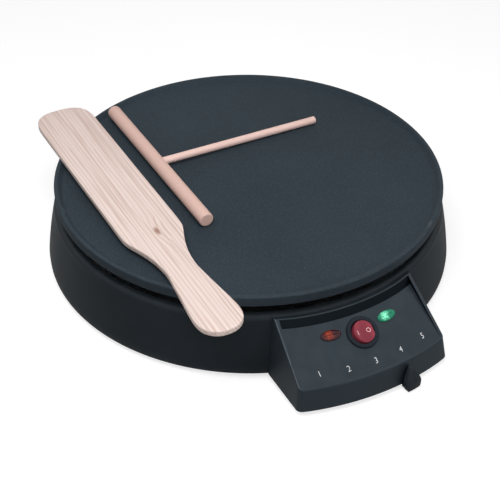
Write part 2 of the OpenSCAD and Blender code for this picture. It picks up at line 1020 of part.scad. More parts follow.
module neon_lamps() {
    lamp_len = neck_drop - 2;
    color([0.95, 0.75, 0.6])
        for (side = [-1, 1])
            on_panel(lamp_r, side * lamp_angle) {
                translate([0, 0, -neck_drop])
                    cylinder(h = lamp_len - 1.9, r = 1.9, $fn = 32);
                translate([0, 0, -neck_drop + lamp_len - 1.9])
                    sphere(r = 1.9, $fn = 32);
                for (x = [-1.2, 1.2])
                    translate([x, 0, -neck_drop - cap_t - 3])
                        cylinder(h = cap_t + 3, r = 0.3, $fn = 16);
            }
}

// ---- Thermostat ----------------------------------------------------------------------------

module thermostat_frame() {
    color(STEEL)
        difference() {
            union() {
                translate([-ear_x - 4.5, -pivot_y - 5, frame_z])
                    cube([2 * ear_x + 9, 10, frame_t]);
                translate([-6, -pivot_y - 7, frame_z])
                    cube([12, pivot_y + 7 + stack_y + 6, frame_t]);
                translate([0, -pivot_y, frame_z - collar_h])
                    cylinder(h = collar_h, r = collar_r);
            }
            translate([0, -pivot_y, frame_z - collar_h - 1])
                cylinder(h = collar_h + frame_t + 2, r = spindle_d / 2 + slip);
            ear_places()
                translate([0, 0, frame_z - 1])
                    cylinder(h = frame_t + 2, r = clear_r);
        }
}

module thermostat_posts() {
    color(BRASS)
        ear_places()
            translate([0, 0, frame_z + frame_t])
                difference() {
                    cylinder(h = plate_z - frame_z - frame_t, r = post_r);
                    translate([0, 0, -1])
                        cylinder(h = plate_z, r = screw_d / 2 + 0.1);
                }
}

module thermostat_screws() {
    color(TINNED)
        ear_places()
            translate([0, 0, frame_z])
                screw_up(plate_z - frame_z + 2);
}

stack_levels = [contact_z, contact_z + 3, bimetal_z];
stack_top = bimetal_z + bimetal_t + 2;

module ceramic_stack() {
    color(CERAMIC)
        translate([0, stack_y, 0])
            difference() {
                translate([0, 0, frame_z + frame_t])
                    cylinder(h = stack_top - frame_z - frame_t, r = stack_r);
                for (z = [contact_z, contact_z + 3])
                    translate([-stack_r - 1, -stack_r - 1, z])
                        cube([2 * stack_r + 2, 2 * stack_r + 2, blade_sheet]);
                translate([-stack_r - 1, -stack_r - 1, bimetal_z])
                    cube([2 * stack_r + 2, 2 * stack_r + 2, bimetal_t]);
            }
}

module contact_blades() {
    reach = pivot_y + stack_y;
    color(BRASS) {
        for (z = [contact_z, contact_z + 3])
            translate([-3, stack_y - reach - 2, z])
                cube([6, reach + 2 + 10, blade_sheet]);
        translate([0, stack_y - reach + 6, contact_z + blade_sheet])
            cylinder(h = 3 - blade_sheet, r = rivet_r, $fn = 24);
    }
}

module bimetal_strip() {
    reach = pivot_y + stack_y;
    color([0.62, 0.55, 0.42]) {
        translate([-4, stack_y - reach + 2, bimetal_z])
            cube([8, reach + 4, bimetal_t]);
        translate([0, stack_y - reach + 6, contact_z + 3 + blade_sheet])
            cylinder(h = bimetal_z - contact_z - 3 - blade_sheet, r = 1, $fn = 24);
    }
}

module thermostat_spindle() {
    top = frame_z + frame_t + 2;
    color(STEEL)
        translate([0, -pivot_y, 0])
            difference() {
                union() {
                    translate([0, 0, arm_z + lever_t])
                        cylinder(h = top - arm_z - lever_t, d = spindle_d);
                    translate([0, 0, top])
                        cylinder(h = contact_z - top - slip, r = tip_r, $fn = 32);
                    translate([0, 0, frame_z - collar_h - 1.6])
                        cylinder(h = 1.5, r = spindle_d / 2 + 1.2);
                }
                translate([0, 0, arm_z])
                    cylinder(h = lever_t + 8, r = pilot_r);
            }
}

module lever_arm() {
    knob_end = knob_in + knob_t * 0.75;
    color(TINNED)
        on_lever()
            difference() {
                union() {
                    translate([0, 0, arm_z])
                        cylinder(h = lever_t, r = hub_r);
                    translate([-lever_w / 2, -leg_r, arm_z])
                        cube([lever_w, leg_r, lever_t]);
                    translate([-lever_w / 2, -leg_r, strip_z])
                        cube([lever_w, lever_t, arm_z + lever_t - strip_z]);
                    translate([-lever_w / 2, -knob_end, strip_z])
                        cube([lever_w, knob_end - leg_r + lever_t, lever_t]);
                }
                translate([0, 0, arm_z - 1])
                    cylinder(h = lever_t + 2, r = clear_r);
            }
}

// The knob: a shield with a pointed top and a bowed front; its foot reaches back under the housing
module lever_knob() {
    half = knob_w / 2;
    wide_z = 6.5;
    lean = knob_lean * (knob_h - knob_z);
    back = knob_in;
    front = knob_in + knob_t;
    mid_front = back + knob_t * 0.8 - lean * 0.5;
    top_front = back + knob_t * 0.55 - lean;
    color(CHARCOAL)
        on_lever()
            difference() {
                union() {
                    hull() {
                        for (side = [-1, 1]) {
                            translate([side * (half - 1.2), -back - 1.2, wide_z])
                                cylinder(h = 2, r = 1.2, $fn = 24);
                            translate([side * (half - 2.6), -back - 1.2, knob_z])
                                cylinder(h = 2, r = 1.2, $fn = 24);
                            translate([side * (half - 2), -front + 1, knob_z])
                                cylinder(h = 2, r = 1, $fn = 24);
                            translate([side * (half - 1), -front + 1.8, wide_z])
                                cylinder(h = 2, r = 1, $fn = 24);
                            translate([side * (half - 3.8), -back - 1.2 + lean * 0.5, 13])
                                cylinder(h = 1, r = 1, $fn = 24);
                            translate([side * (half - 3.6), -mid_front + 0.8, 13])
                                cylinder(h = 1, r = 0.8, $fn = 24);
                        }
                        translate([0, -back - 1.2 + lean, knob_h - 2])
                            cylinder(h = 2, r = 0.8, $fn = 24);
                        translate([0, -top_front + 0.6, knob_h - 2])
                            cylinder(h = 2, r = 0.6, $fn = 24);
                    }
                    translate([-lever_w / 2 - 1, -back - 1, knob_z])
                        cube([lever_w + 2, knob_reach + 1, base_z - 0.5 - knob_z]);
                }
                translate([-lever_w / 2 - slip, -knob_in - knob_t * 0.75 - slip, strip_z - slip])
                    cube([lever_w + 2 * slip, knob_t * 0.75 + knob_reach + 1, lever_t + 2 * slip]);
            }
}

module lever_screw() {
    color(TINNED)
        translate([0, -pivot_y, arm_z])
            screw_up(lever_t + 7);
}

// ---- Thermal fuse --------------------------------------------------------------------------

module thermal_fuse() {
    color(CERAMIC)
        translate([fuse_at.x, fuse_at.y - fuse_len / 2, plate_z - fuse_r - seat_gap])
            rotate([-90, 0, 0]) {
                cylinder(h = fuse_len, r = fuse_r - seat_gap, $fn = 32);
                translate([0, 0, -4])
                    cylinder(h = fuse_len + 8, r = 0.5, $fn = 16);
            }
}

module fuse_clip() {
    reach = fuse_side + 9;
    color(STEEL)
        difference() {
            translate([fuse_at.x - fuse_side - 4.5, fuse_at.y - 4, plate_z - 2 * fuse_r - 0.8])
                cube([reach, 8, 0.8 - slip]);
            fuse_screw_place()
                translate([0, 0, plate_z - 2 * fuse_r - 2])
                    cylinder(h = 4, r = clear_r);
        }
}

module fuse_screw() {
    color(TINNED)
        fuse_screw_place()
            translate([0, 0, plate_z - 2 * fuse_r - 0.8])
                screw_up(2 * fuse_r + 2);
}

// ---- Mains connections -----------------------------------------------------------------------

module block_ways() {
    for (i = [-1, 0, 1])
        translate([block_at.x + i * block_way, block_at.y, cover_top])
            children();
}

module terminal_block() {
    way_z = 5;
    color(CERAMIC)
        difference() {
            translate([block_at.x - block_size.x / 2, block_at.y - block_size.y / 2, cover_top])
                cube(block_size);
            block_ways() {
                translate([0, block_size.y / 2 + 1, way_z])
                    rotate([90, 0, 0])
                        cylinder(h = block_size.y + 2, r = 1.8, $fn = 32);
                for (side = [-1, 1])
                    translate([0, side * 4, way_z])
                        cylinder(h = block_size.z, r = 1.5 + slip, $fn = 32);
            }
            translate([block_at.x, block_at.y, cover_top - 1])
                cylinder(h = 4, r = pilot_r);
        }
}

module terminal_screws() {
    color(BRASS)
        block_ways()
            for (side = [-1, 1])
                translate([0, side * 4, 6.4])
                    cylinder(h = block_size.z - 8, r = 1.5, $fn = 32);
}

module outlet_bush() {
    color(BLACK)
        translate([0, 0, outlet_z])
            rotate([-90, 0, 0])
                difference() {
                    union() {
                        translate([0, 0, pad_out])
                            cylinder(h = bush_rim, r = outlet_pad_r);
                        translate([0, 0, pad_in - seat_gap])
                            cylinder(h = pad_out - pad_in + 2 * seat_gap, r = bush_neck_r);
                        translate([0, 0, pad_in - bush_rim])
                            cylinder(h = bush_rim, r = bush_neck_r + 1);
                    }
                    translate([0, 0, pad_in - 10])
                        cylinder(h = 40, d = outlet_d);
                }
}

way_front = block_at.y - block_size.y / 2 + 4;
way_level = cover_top + 5;
low = 22;
stub = 3;
fuse_z = plate_z - fuse_r - seat_gap;
near_fuse = fuse_at.y - fuse_len / 2 - 4.1;
past_fuse = fuse_at.y + fuse_len / 2 + 4.1;
lower_blade = contact_z + blade_sheet / 2;
upper_blade = contact_z + 3 + blade_sheet / 2;

// A point on the middle line of a switch blade, past its end by a distance
function past_blade(x, d) = panel_point(switch_r, 0, [x, 0, -switch_depth - blade_drop - d]);
// A point on the middle line of an element pin, past its end by a distance
function past_pin(side, d) =
    polar(element_r, side * element_gap / 2, tube_z - leg_len - pin_len - d);

// Turning points of the wires on their way round the inside of the base
live_back = [-60, 60];
live_side = [-78, -20];
live_front = [-40, -130];
live_switch = [-12, -158];
switch_out = [12, -150];
switch_back = [20, -110];
fuse_out = [20, 10];
blade_out = [-ear_x - 9, -pivot_y + 10];
ear_out = [-ear_x - 18, -pivot_y - 12];
neutral_back = [-14, 60];
neutral_side = [-44, -40];
neutral_front = [0, -96];
earth_back = [0, 78];
earth_side = [-50, 64];

module live_wires() {
    color([0.40, 0.24, 0.16]) {
        wire([
            [-block_way, way_front, way_level],
            [-block_way, way_front - 14, way_level],
            [live_back.x, live_back.y, low],
            [live_side.x, live_side.y, low],
            [live_front.x, live_front.y, low],
            [live_switch.x, live_switch.y, low - 4],
            past_blade(-blade_x, stub),
            past_blade(-blade_x, slip)]);
        wire([
            past_blade(blade_x, slip),
            past_blade(blade_x, stub),
            [switch_out.x, switch_out.y, low],
            [switch_back.x, switch_back.y, low + 2],
            [hole_b.x, hole_b.y - 8, low + 6],
            [hole_b.x, hole_b.y, pan_floor - 3],
            [hole_b.x, hole_b.y, pan_floor + 6],
            [fuse_at.x, near_fuse - 8, plate_z - 12],
            [fuse_at.x, near_fuse - stub, fuse_z],
            [fuse_at.x, near_fuse, fuse_z]]);
        wire([
            [fuse_at.x, past_fuse, fuse_z],
            [fuse_at.x, past_fuse + stub, fuse_z],
            [fuse_at.x - 6, past_fuse + 7, plate_z - 10],
            [fuse_out.x, fuse_out.y, pan_floor + 10],
            [2, stack_y + 19, contact_z - 3],
            [0, stack_y + 10.1 + stub, lower_blade],
            [0, stack_y + 10.1, lower_blade]]);
        wire([
            [-3.1, -pivot_y + 6, upper_blade],
            [-3.1 - stub, -pivot_y + 6, upper_blade],
            [-12, -pivot_y + 11, contact_z + 1.5],
            [blade_out.x, blade_out.y, contact_z - 2],
            [ear_out.x, ear_out.y, contact_z - 6],
            past_pin(-1, 2.4) + [-1, 8, 0],
            past_pin(-1, 2.4),
            past_pin(-1, slip)]);
    }
}

module neutral_wires() {
    color([0.16, 0.30, 0.55])
        wire([
            [0, way_front, way_level],
            [0, way_front - 14, way_level],
            [neutral_back.x, neutral_back.y, low + 6],
            [neutral_side.x, neutral_side.y, low + 6],
            [hole_a.x, hole_a.y + 10, low + 6],
            [hole_a.x, hole_a.y, pan_floor - 3],
            [hole_a.x + 1, hole_a.y, pan_floor + 3.4],
            [neutral_front.x, neutral_front.y, pan_floor + 4],
            past_pin(1, 2.4) + [-8, 1, -1.2],
            past_pin(1, 2.4),
            past_pin(1, slip)]);
}

module earth_wire() {
    color([0.42, 0.58, 0.20])
        wire([
            [block_way, way_front, way_level],
            [block_way, way_front - 12, way_level],
            [earth_back.x, earth_back.y, cover_top + stub],
            [earth_side.x, earth_side.y, low + 2],
            [earth_at.x, earth_at.y, pan_floor - pan_t - head_h - stub],
            [earth_at.x, earth_at.y, pan_floor - pan_t - head_h - slip]]);
}

module earth_screw() {
    color(BRASS)
        translate([earth_at.x, earth_at.y, pan_floor - pan_t])
            screw_up(pan_t + 4);
}

// ---- Wooden spatula and spreader -------------------------------------------------------------

// Half the spatula's outline, from its blade's end along one edge to its grip's end
module spatula() {
    b = blade_w / 2;
    n = neck_w / 2;
    g = grip_w / 2;
    h = spatula_len - blade_len;
    edge = [
        [b * 0.32, -0.4],
        [b * 0.62, -3],
        [b * 0.86, -8],
        [b, -18],
        [b, -blade_len + 40],
        [b * 0.96, -blade_len + 33],
        [n * 1.56, -blade_len + 21],
        [n * 1.2, -blade_len + 7],
        [n * 1.05, -blade_len - 5],
        [n, -blade_len - 0.17 * h],
        [n * 1.1, -blade_len - 0.3 * h],
        [g * 0.84, -blade_len - 0.48 * h],
        [g * 0.95, -blade_len - 0.66 * h],
        [g, -blade_len - 0.76 * h],
        [g * 0.985, -blade_len - 0.84 * h],
        [g * 0.9, -blade_len - 0.9 * h],
        [g * 0.72, -blade_len - 0.95 * h],
        [g * 0.44, -blade_len - 0.987 * h],
        [g * 0.16, -spatula_len]];
    other = [for (p = reversed(edge)) [-p.x, p.y]];
    color(PINE)
        translate([spatula_tip.x, spatula_tip.y, rim_z + seat_gap])
            rotate([0, 0, spatula_turn])
                linear_extrude(height = spatula_t)
                    offset(r = 4, $fn = 32)
                        offset(r = -8, $fn = 32)
                            offset(r = 4, $fn = 32)
                                polygon(concat(edge, other));
}

module on_spreader() {
    translate([bar_mid.x, bar_mid.y, surface_z + seat_gap + bar_d / 2])
        rotate([0, 0, spreader_turn])
            children();
}

module spreader_bar() {
    chamfer = 0.7;
    color(DOWEL)
        on_spreader()
            difference() {
                rotate([90, 0, 0]) {
                    translate([0, 0, -bar_len / 2 + chamfer])
                        cylinder(h = bar_len - 2 * chamfer, d = bar_d);
                    for (side = [-1, 1])
                        mirror([0, 0, side < 0 ? 1 : 0])
                            translate([0, 0, bar_len / 2 - chamfer])
                                cylinder(h = chamfer, r1 = bar_d / 2, r2 = bar_d / 2 - chamfer);
                }
                rotate([0, handle_dip, 0])
                    translate([bar_d / 2 - tenon, 0, 0])
                        rotate([0, 90, 0])
                            cylinder(h = 20, r = handle_d / 2 + slip);
            }
}

module spreader_handle() {
    color(DOWEL)
        on_spreader()
            rotate([0, handle_dip, 0])
                rotate([0, 90, 0]) {
                    translate([0, 0, bar_d / 2 - tenon + slip])
                        cylinder(h = handle_len - bar_d / 2 + tenon - 1, d = handle_d);
                    translate([0, 0, handle_len + slip - 1])
                        cylinder(h = 1, r1 = handle_d / 2, r2 = handle_d / 2 - 0.8);
                }
}

cooking_plate();
heating_element();
element_pins();
element_straps();
strap_screws();
plate_posts();
plate_bolts();
heat_reflector();
reflector_screws();
base_shell();
control_housing();
housing_screws();
bottom_cover();
cover_screws();
rubber_feet();
box_feet();
switch_case();
switch_rocker();
switch_terminals();
red_lamp_lens();
green_lamp_lens();
lamp_holders();
neon_lamps();
thermostat_frame();
thermostat_posts();
thermostat_screws();
ceramic_stack();
contact_blades();
bimetal_strip();
thermostat_spindle();
lever_arm();
lever_knob();
lever_screw();
thermal_fuse();
fuse_clip();
fuse_screw();
terminal_block();
terminal_screws();
outlet_bush();
live_wires();
neutral_wires();
earth_wire();
earth_screw();
spatula();
spreader_bar();
spreader_handle();
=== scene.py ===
"""Looks of the electric crepe maker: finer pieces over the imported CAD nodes, their finishes and the studio.

Every length in the dataclasses is in millimetres and every angle in degrees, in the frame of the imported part:
the origin on the plate's axis at the level of the table, +Z up, the front facing -Y.
"""

import logging
import math
from collections.abc import Callable, Sequence
from dataclasses import dataclass, field
from enum import Enum

import bmesh
import bpy
from mathutils import Matrix, Vector


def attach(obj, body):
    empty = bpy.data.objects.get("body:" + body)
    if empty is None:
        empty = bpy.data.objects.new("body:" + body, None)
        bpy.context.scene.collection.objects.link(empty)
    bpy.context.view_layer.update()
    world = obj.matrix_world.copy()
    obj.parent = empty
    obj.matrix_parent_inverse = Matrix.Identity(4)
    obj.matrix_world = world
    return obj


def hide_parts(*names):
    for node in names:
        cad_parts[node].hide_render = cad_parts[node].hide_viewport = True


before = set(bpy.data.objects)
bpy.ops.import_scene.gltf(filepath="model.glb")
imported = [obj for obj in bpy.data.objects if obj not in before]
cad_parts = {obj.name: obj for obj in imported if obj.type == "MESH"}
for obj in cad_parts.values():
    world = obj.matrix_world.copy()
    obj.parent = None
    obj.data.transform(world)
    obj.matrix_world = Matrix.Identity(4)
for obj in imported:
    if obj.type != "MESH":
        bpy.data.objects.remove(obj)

LOG = logging.getLogger("crepe_maker")
MM = 0.001

Flat = tuple[float, float]
Spot = tuple[float, float, float]
Element = bmesh.types.BMFace | bmesh.types.BMEdge | bmesh.types.BMVert


# ---- The bench: modelling as by hand -----------------------------------------------------------


class Pick(Enum):
    """What an edit-mode selection is made of."""

    FACE = "FACE"
    EDGE = "EDGE"
    VERT = "VERT"


class Cut(Enum):
    """How one closed piece changes another."""

    AWAY = "DIFFERENCE"
    COMMON = "INTERSECT"
    JOINED = "UNION"


def mm(point: Sequence[float]) -> Vector:
    """Returns a point given in millimetres as a vector in metres."""
    return Vector(point) * MM


def arc(centre: Flat, radius: float, start: float, stop: float, steps: int) -> list[Flat]:
    """Points along an arc.

    Args:
        centre: the arc's centre.
        radius: its radius.
        start: the first point's angle, in degrees.
        stop: the last point's angle, in degrees.
        steps: the number of equal steps between them.

    Returns:
        The points, both ends among them.
    """
    angles = [math.radians(start + (stop - start) * i / steps) for i in range(steps + 1)]
    return [(centre[0] + radius * math.cos(a), centre[1] + radius * math.sin(a)) for a in angles]


class Bench:
    """The modelling operators, each used on one piece at a time."""

    @staticmethod
    def clear() -> None:
        """Leaves edit mode and deselects everything."""
        if bpy.context.object and bpy.context.object.mode != "OBJECT":
            bpy.ops.object.mode_set(mode="OBJECT")
        bpy.ops.object.select_all(action="DESELECT")

    @staticmethod
    def hold(piece: bpy.types.Object) -> None:
        """Makes a piece the only one selected, in object mode."""
        Bench.clear()
        piece.select_set(True)
        bpy.context.view_layer.objects.active = piece

    @staticmethod
    def edit(piece: bpy.types.Object, kind: Pick = Pick.FACE, everything: bool = False) -> None:
        """Opens a piece for editing.

        Args:
            piece: the piece to edit.
            kind: what the selection is made of.
            everything: whether the whole piece starts selected.
        """
        Bench.hold(piece)
        bpy.ops.object.mode_set(mode="EDIT")
        bpy.ops.mesh.select_mode(type=kind.value)
        bpy.ops.mesh.select_all(action="SELECT" if everything else "DESELECT")

    @staticmethod
    def pick(piece: bpy.types.Object, kind: Pick, test: Callable[[Element], bool]) -> None:
        """Selects, in edit mode, the elements that pass a test.

        Args:
            piece: the piece open for editing.
            kind: faces, edges or vertices.
            test: says of an element whether it is wanted.
        """
        bpy.ops.mesh.select_mode(type=kind.value)
        bpy.ops.mesh.select_all(action="DESELECT")
        grid = bmesh.from_edit_mesh(piece.data)
        for element in {Pick.FACE: grid.faces, Pick.EDGE: grid.edges, Pick.VERT: grid.verts}[kind]:
            if test(element):
                element.select_set(True)
        grid.select_flush_mode()
        bmesh.update_edit_mesh(piece.data)

    @staticmethod
    def named(name: str) -> bpy.types.Object:
        """Names the active object and its mesh, and returns it."""
        piece = bpy.context.object
        piece.name = name.replace(" ", "_")
        piece.data.name = piece.name
        return piece

    @staticmethod
    def trace(name: str, points: Sequence[Spot], closed: bool) -> bpy.types.Object:
        """Draws an outline by extruding one vertex from point to point, and leaves it open in edit mode.

        Args:
            name: the piece's name.
            points: the outline's points, in millimetres.
            closed: whether the last point joins the first.

        Returns:
            The piece, all selected.
        """
        Bench.clear()
        bpy.ops.mesh.primitive_plane_add(size=MM, location=(0, 0, 0))
        piece = Bench.named(name)
        Bench.edit(piece, Pick.VERT, everything=True)
        bpy.ops.mesh.merge(type="CENTER")
        bpy.ops.transform.translate(value=mm(points[0]))
        route = [mm(p) for p in points] + ([mm(points[0])] if closed else [])
        for before, after in zip(route, route[1:]):
            bpy.ops.mesh.extrude_region_move(TRANSFORM_OT_translate={"value": after - before})
        bpy.ops.mesh.select_all(action="SELECT")
        if closed:
            bpy.ops.mesh.remove_doubles(threshold=1e-6)
        return piece

    @staticmethod
    def lathe(
        name: str, section: Sequence[Flat], turns: Sequence[Flat], closed: bool = False, first: float = -90.0
    ) -> bpy.types.Object:
        """Turns a section round the Z axis.

        Args:
            name: the piece's name.
            section: the section's points, each a radius and a height.
            turns: the spins made one after another, each an angle in degrees and its number of steps.
            closed: whether the section is a closed outline.
            first: the angle from +X at which the section is drawn.

        Returns:
            The piece, merged and with its faces pointing outwards.
        """
        c, s = math.cos(math.radians(first)), math.sin(math.radians(first))
        piece = Bench.trace(name, [(r * c, r * s, z) for r, z in section], closed)
        for angle, steps in turns:
            # A spin by a positive angle about +Z runs clockwise seen from above
            bpy.ops.mesh.spin(
                steps=int(steps),
                angle=-math.radians(angle),
                center=(0, 0, 0),
                axis=(0, 0, 1),
                use_auto_merge=True,
            )
        Bench.close(piece)
        return piece

    @staticmethod
    def sheet(name: str, points: Sequence[Spot], rise: Spot) -> bpy.types.Object:
        """Draws a closed outline, fills it and pulls it out into a solid.

        Args:
            name: the piece's name.
            points: the outline's points, in millimetres.
            rise: how far and which way the outline is pulled.

        Returns:
            The solid, merged and with its faces pointing outwards.
        """
        piece = Bench.trace(name, points, closed=True)
        bpy.ops.mesh.edge_face_add()
        bpy.ops.mesh.extrude_region_move(TRANSFORM_OT_translate={"value": mm(rise)})
        Bench.close(piece)
        return piece

    @staticmethod
    def prism(name: str, outline: Sequence[Flat], low: float, high: float) -> bpy.types.Object:
        """Pulls an outline drawn in the XY plane up between two heights."""
        return Bench.sheet(name, [(x, y, low) for x, y in outline], (0, 0, high - low))

    @staticmethod
    def rod(name: str, radius: float, low: float, high: float, steps: int = 64) -> bpy.types.Object:
        """Adds an upright round cutter or core between two heights on the Z axis."""
        Bench.clear()
        middle = (0, 0, (high + low) / 2 * MM)
        bpy.ops.mesh.primitive_cylinder_add(
            vertices=steps, radius=radius * MM, depth=(high - low) * MM, location=middle
        )
        piece = Bench.named(name)
        Bench.settle(piece)
        return piece

    @staticmethod
    def block(name: str, low: Spot, high: Spot) -> bpy.types.Object:
        """Adds a square cutter between two corners."""
        Bench.clear()
        bpy.ops.mesh.primitive_cube_add(size=1.0, location=(mm(low) + mm(high)) / 2)
        piece = Bench.named(name)
        piece.scale = mm(high) - mm(low)
        Bench.settle(piece)
        return piece

    @staticmethod
    def close(piece: bpy.types.Object) -> None:
        """Merges a piece's doubles and points its faces outwards, and leaves edit mode."""
        Bench.edit(piece, Pick.VERT, everything=True)
        bpy.ops.mesh.remove_doubles(threshold=2e-6)
        bpy.ops.mesh.dissolve_degenerate(threshold=1e-7)
        bpy.ops.mesh.select_all(action="SELECT")
        bpy.ops.mesh.normals_make_consistent(inside=False)
        bpy.ops.object.mode_set(mode="OBJECT")

    @staticmethod
    def settle(piece: bpy.types.Object, place: Matrix | None = None) -> None:
        """Puts a piece in its place and moves the place into its mesh.

        Args:
            piece: the piece.
            place: the move to make, in metres, or None where it already stands right.
        """
        Bench.hold(piece)
        if place is not None:
            piece.matrix_world = place @ piece.matrix_world
        bpy.ops.object.transform_apply(location=True, rotation=True, scale=True)

    @staticmethod
    def slice(piece: bpy.types.Object, at: Spot, normal: Spot) -> None:
        """Cuts off all of a piece that lies past a plane, and closes the cut."""
        Bench.edit(piece, Pick.FACE, everything=True)
        bpy.ops.mesh.bisect(
            plane_co=mm(at), plane_no=Vector(normal).normalized(), use_fill=True, clear_outer=True
        )
        bpy.ops.object.mode_set(mode="OBJECT")

    @staticmethod
    def apply(piece: bpy.types.Object, kind: str, **settings: object) -> None:
        """Gives a piece a modifier and applies it.

        Args:
            piece: the piece.
            kind: the modifier's type.
            **settings: the modifier's properties.
        """
        Bench.hold(piece)
        step = piece.modifiers.new(kind.lower(), kind)
        for name, value in settings.items():
            setattr(step, name, value)
        bpy.ops.object.modifier_apply(modifier=step.name)

    @staticmethod
    def carve(piece: bpy.types.Object, tool: bpy.types.Object, how: Cut = Cut.AWAY) -> None:
        """Combines a piece with another closed one, which is used up."""
        Bench.apply(piece, "BOOLEAN", operation=how.value, object=tool, solver="EXACT")
        bpy.data.objects.remove(tool)

    @staticmethod
    def soften(piece: bpy.types.Object, width: float, steps: int = 3, angle: float = 28.0) -> None:
        """Rounds each edge of a piece that is sharper than an angle.

        Args:
            piece: the piece.
            width: the rounding's width.
            steps: its number of segments.
            angle: the least turn at an edge that is rounded, in degrees.
        """
        limit = math.radians(angle)
        Bench.apply(piece, "BEVEL", width=width * MM, segments=steps, limit_method="ANGLE", angle_limit=limit)

    @staticmethod
    def soften_weighted(
        piece: bpy.types.Object,
        width: float,
        steps: int,
        weigh: Callable[[bpy.types.Object, bpy.types.MeshEdge], float],
    ) -> None:
        """Rounds a piece's edges, each by its own share of a width.

        Args:
            piece: the piece.
            width: the widest rounding.
            steps: the number of segments.
            weigh: gives an edge's share of the width, from 0 to 1.
        """
        Bench.hold(piece)
        layer = piece.data.attributes.new("bevel_weight_edge", "FLOAT", "EDGE")
        for edge in piece.data.edges:
            layer.data[edge.index].value = weigh(piece, edge)
        Bench.apply(piece, "BEVEL", width=width * MM, segments=steps, limit_method="WEIGHT")

    @staticmethod
    def smooth(piece: bpy.types.Object, angle: float = 32.0, even: bool = False) -> bpy.types.Object:
        """Shades a piece smooth across all but its sharp edges.

        Args:
            piece: the piece.
            angle: the turn above which an edge stays sharp, in degrees.
            even: whether large faces lead the shading of the small ones beside them.

        Returns:
            The piece.
        """
        Bench.hold(piece)
        bpy.ops.object.shade_smooth_by_angle(angle=math.radians(angle))
        if even:
            Bench.apply(piece, "WEIGHTED_NORMAL", keep_sharp=True)
        return piece

    @staticmethod
    def copies(piece: bpy.types.Object, places: Sequence[Matrix]) -> bpy.types.Object:
        """Copies a piece to each place, each copy with its own mesh, and joins the copies into it.

        Args:
            piece: the piece as it was modelled, which is used up.
            places: where the copies go.

        Returns:
            One piece that holds all the copies.
        """
        made = []
        for place in places:
            Bench.hold(piece)
            bpy.ops.object.duplicate(linked=False)
            copy = bpy.context.object
            Bench.settle(copy, place)
            made.append(copy)
        name = piece.name
        bpy.data.objects.remove(piece)
        return Bench.join(name, made)

    @staticmethod
    def join(name: str, pieces: Sequence[bpy.types.Object]) -> bpy.types.Object:
        """Joins pieces into one and names it."""
        Bench.clear()
        for piece in pieces:
            piece.select_set(True)
        bpy.context.view_layer.objects.active = pieces[0]
        if len(pieces) > 1:
            bpy.ops.object.join()
        return Bench.named(name)


def turn(angle: float, axis: str = "Z") -> Matrix:
    """Returns a turn about an axis, in degrees."""
    return Matrix.Rotation(math.radians(angle), 4, axis)


def shift(x: float, y: float, z: float) -> Matrix:
    """Returns a move, in millimetres."""
    return Matrix.Translation(mm((x, y, z)))


def stadium(length: float, width: float, steps: int = 20) -> list[Flat]:
    """An outline with two straight sides along X and two round ends, each of a number of steps."""
    r, x = width / 2, (length - width) / 2
    return [*arc((x, 0), r, -90, 90, steps), *arc((-x, 0), r, 90, 270, steps)]


def oval(length: float, width: float, steps: int = 36) -> list[Flat]:
    """An oval outline, long along X."""
    turns = [2 * math.pi * k / steps for k in range(steps)]
    return [(length / 2 * math.cos(a), width / 2 * math.sin(a)) for a in turns]


# ---- Shader groups that several finishes share ---------------------------------------------------


class Socket(Enum):
    """The kinds of socket that the groups use."""

    VALUE = "NodeSocketFloat"
    VECTOR = "NodeSocketVector"


class Effect(Enum):
    """The effects that several finishes share, each a node group."""

    EDGE_WEAR = "edge wear"
    FINE_GRAIN = "fine grain"
    SETTLED_DUST = "settled dust"
    # The masks for painted shade and a painted highlight in the housing's panel recess.
    RECESS_WALLS = "recess walls"
    WOOD_GRAIN = "wood grain"


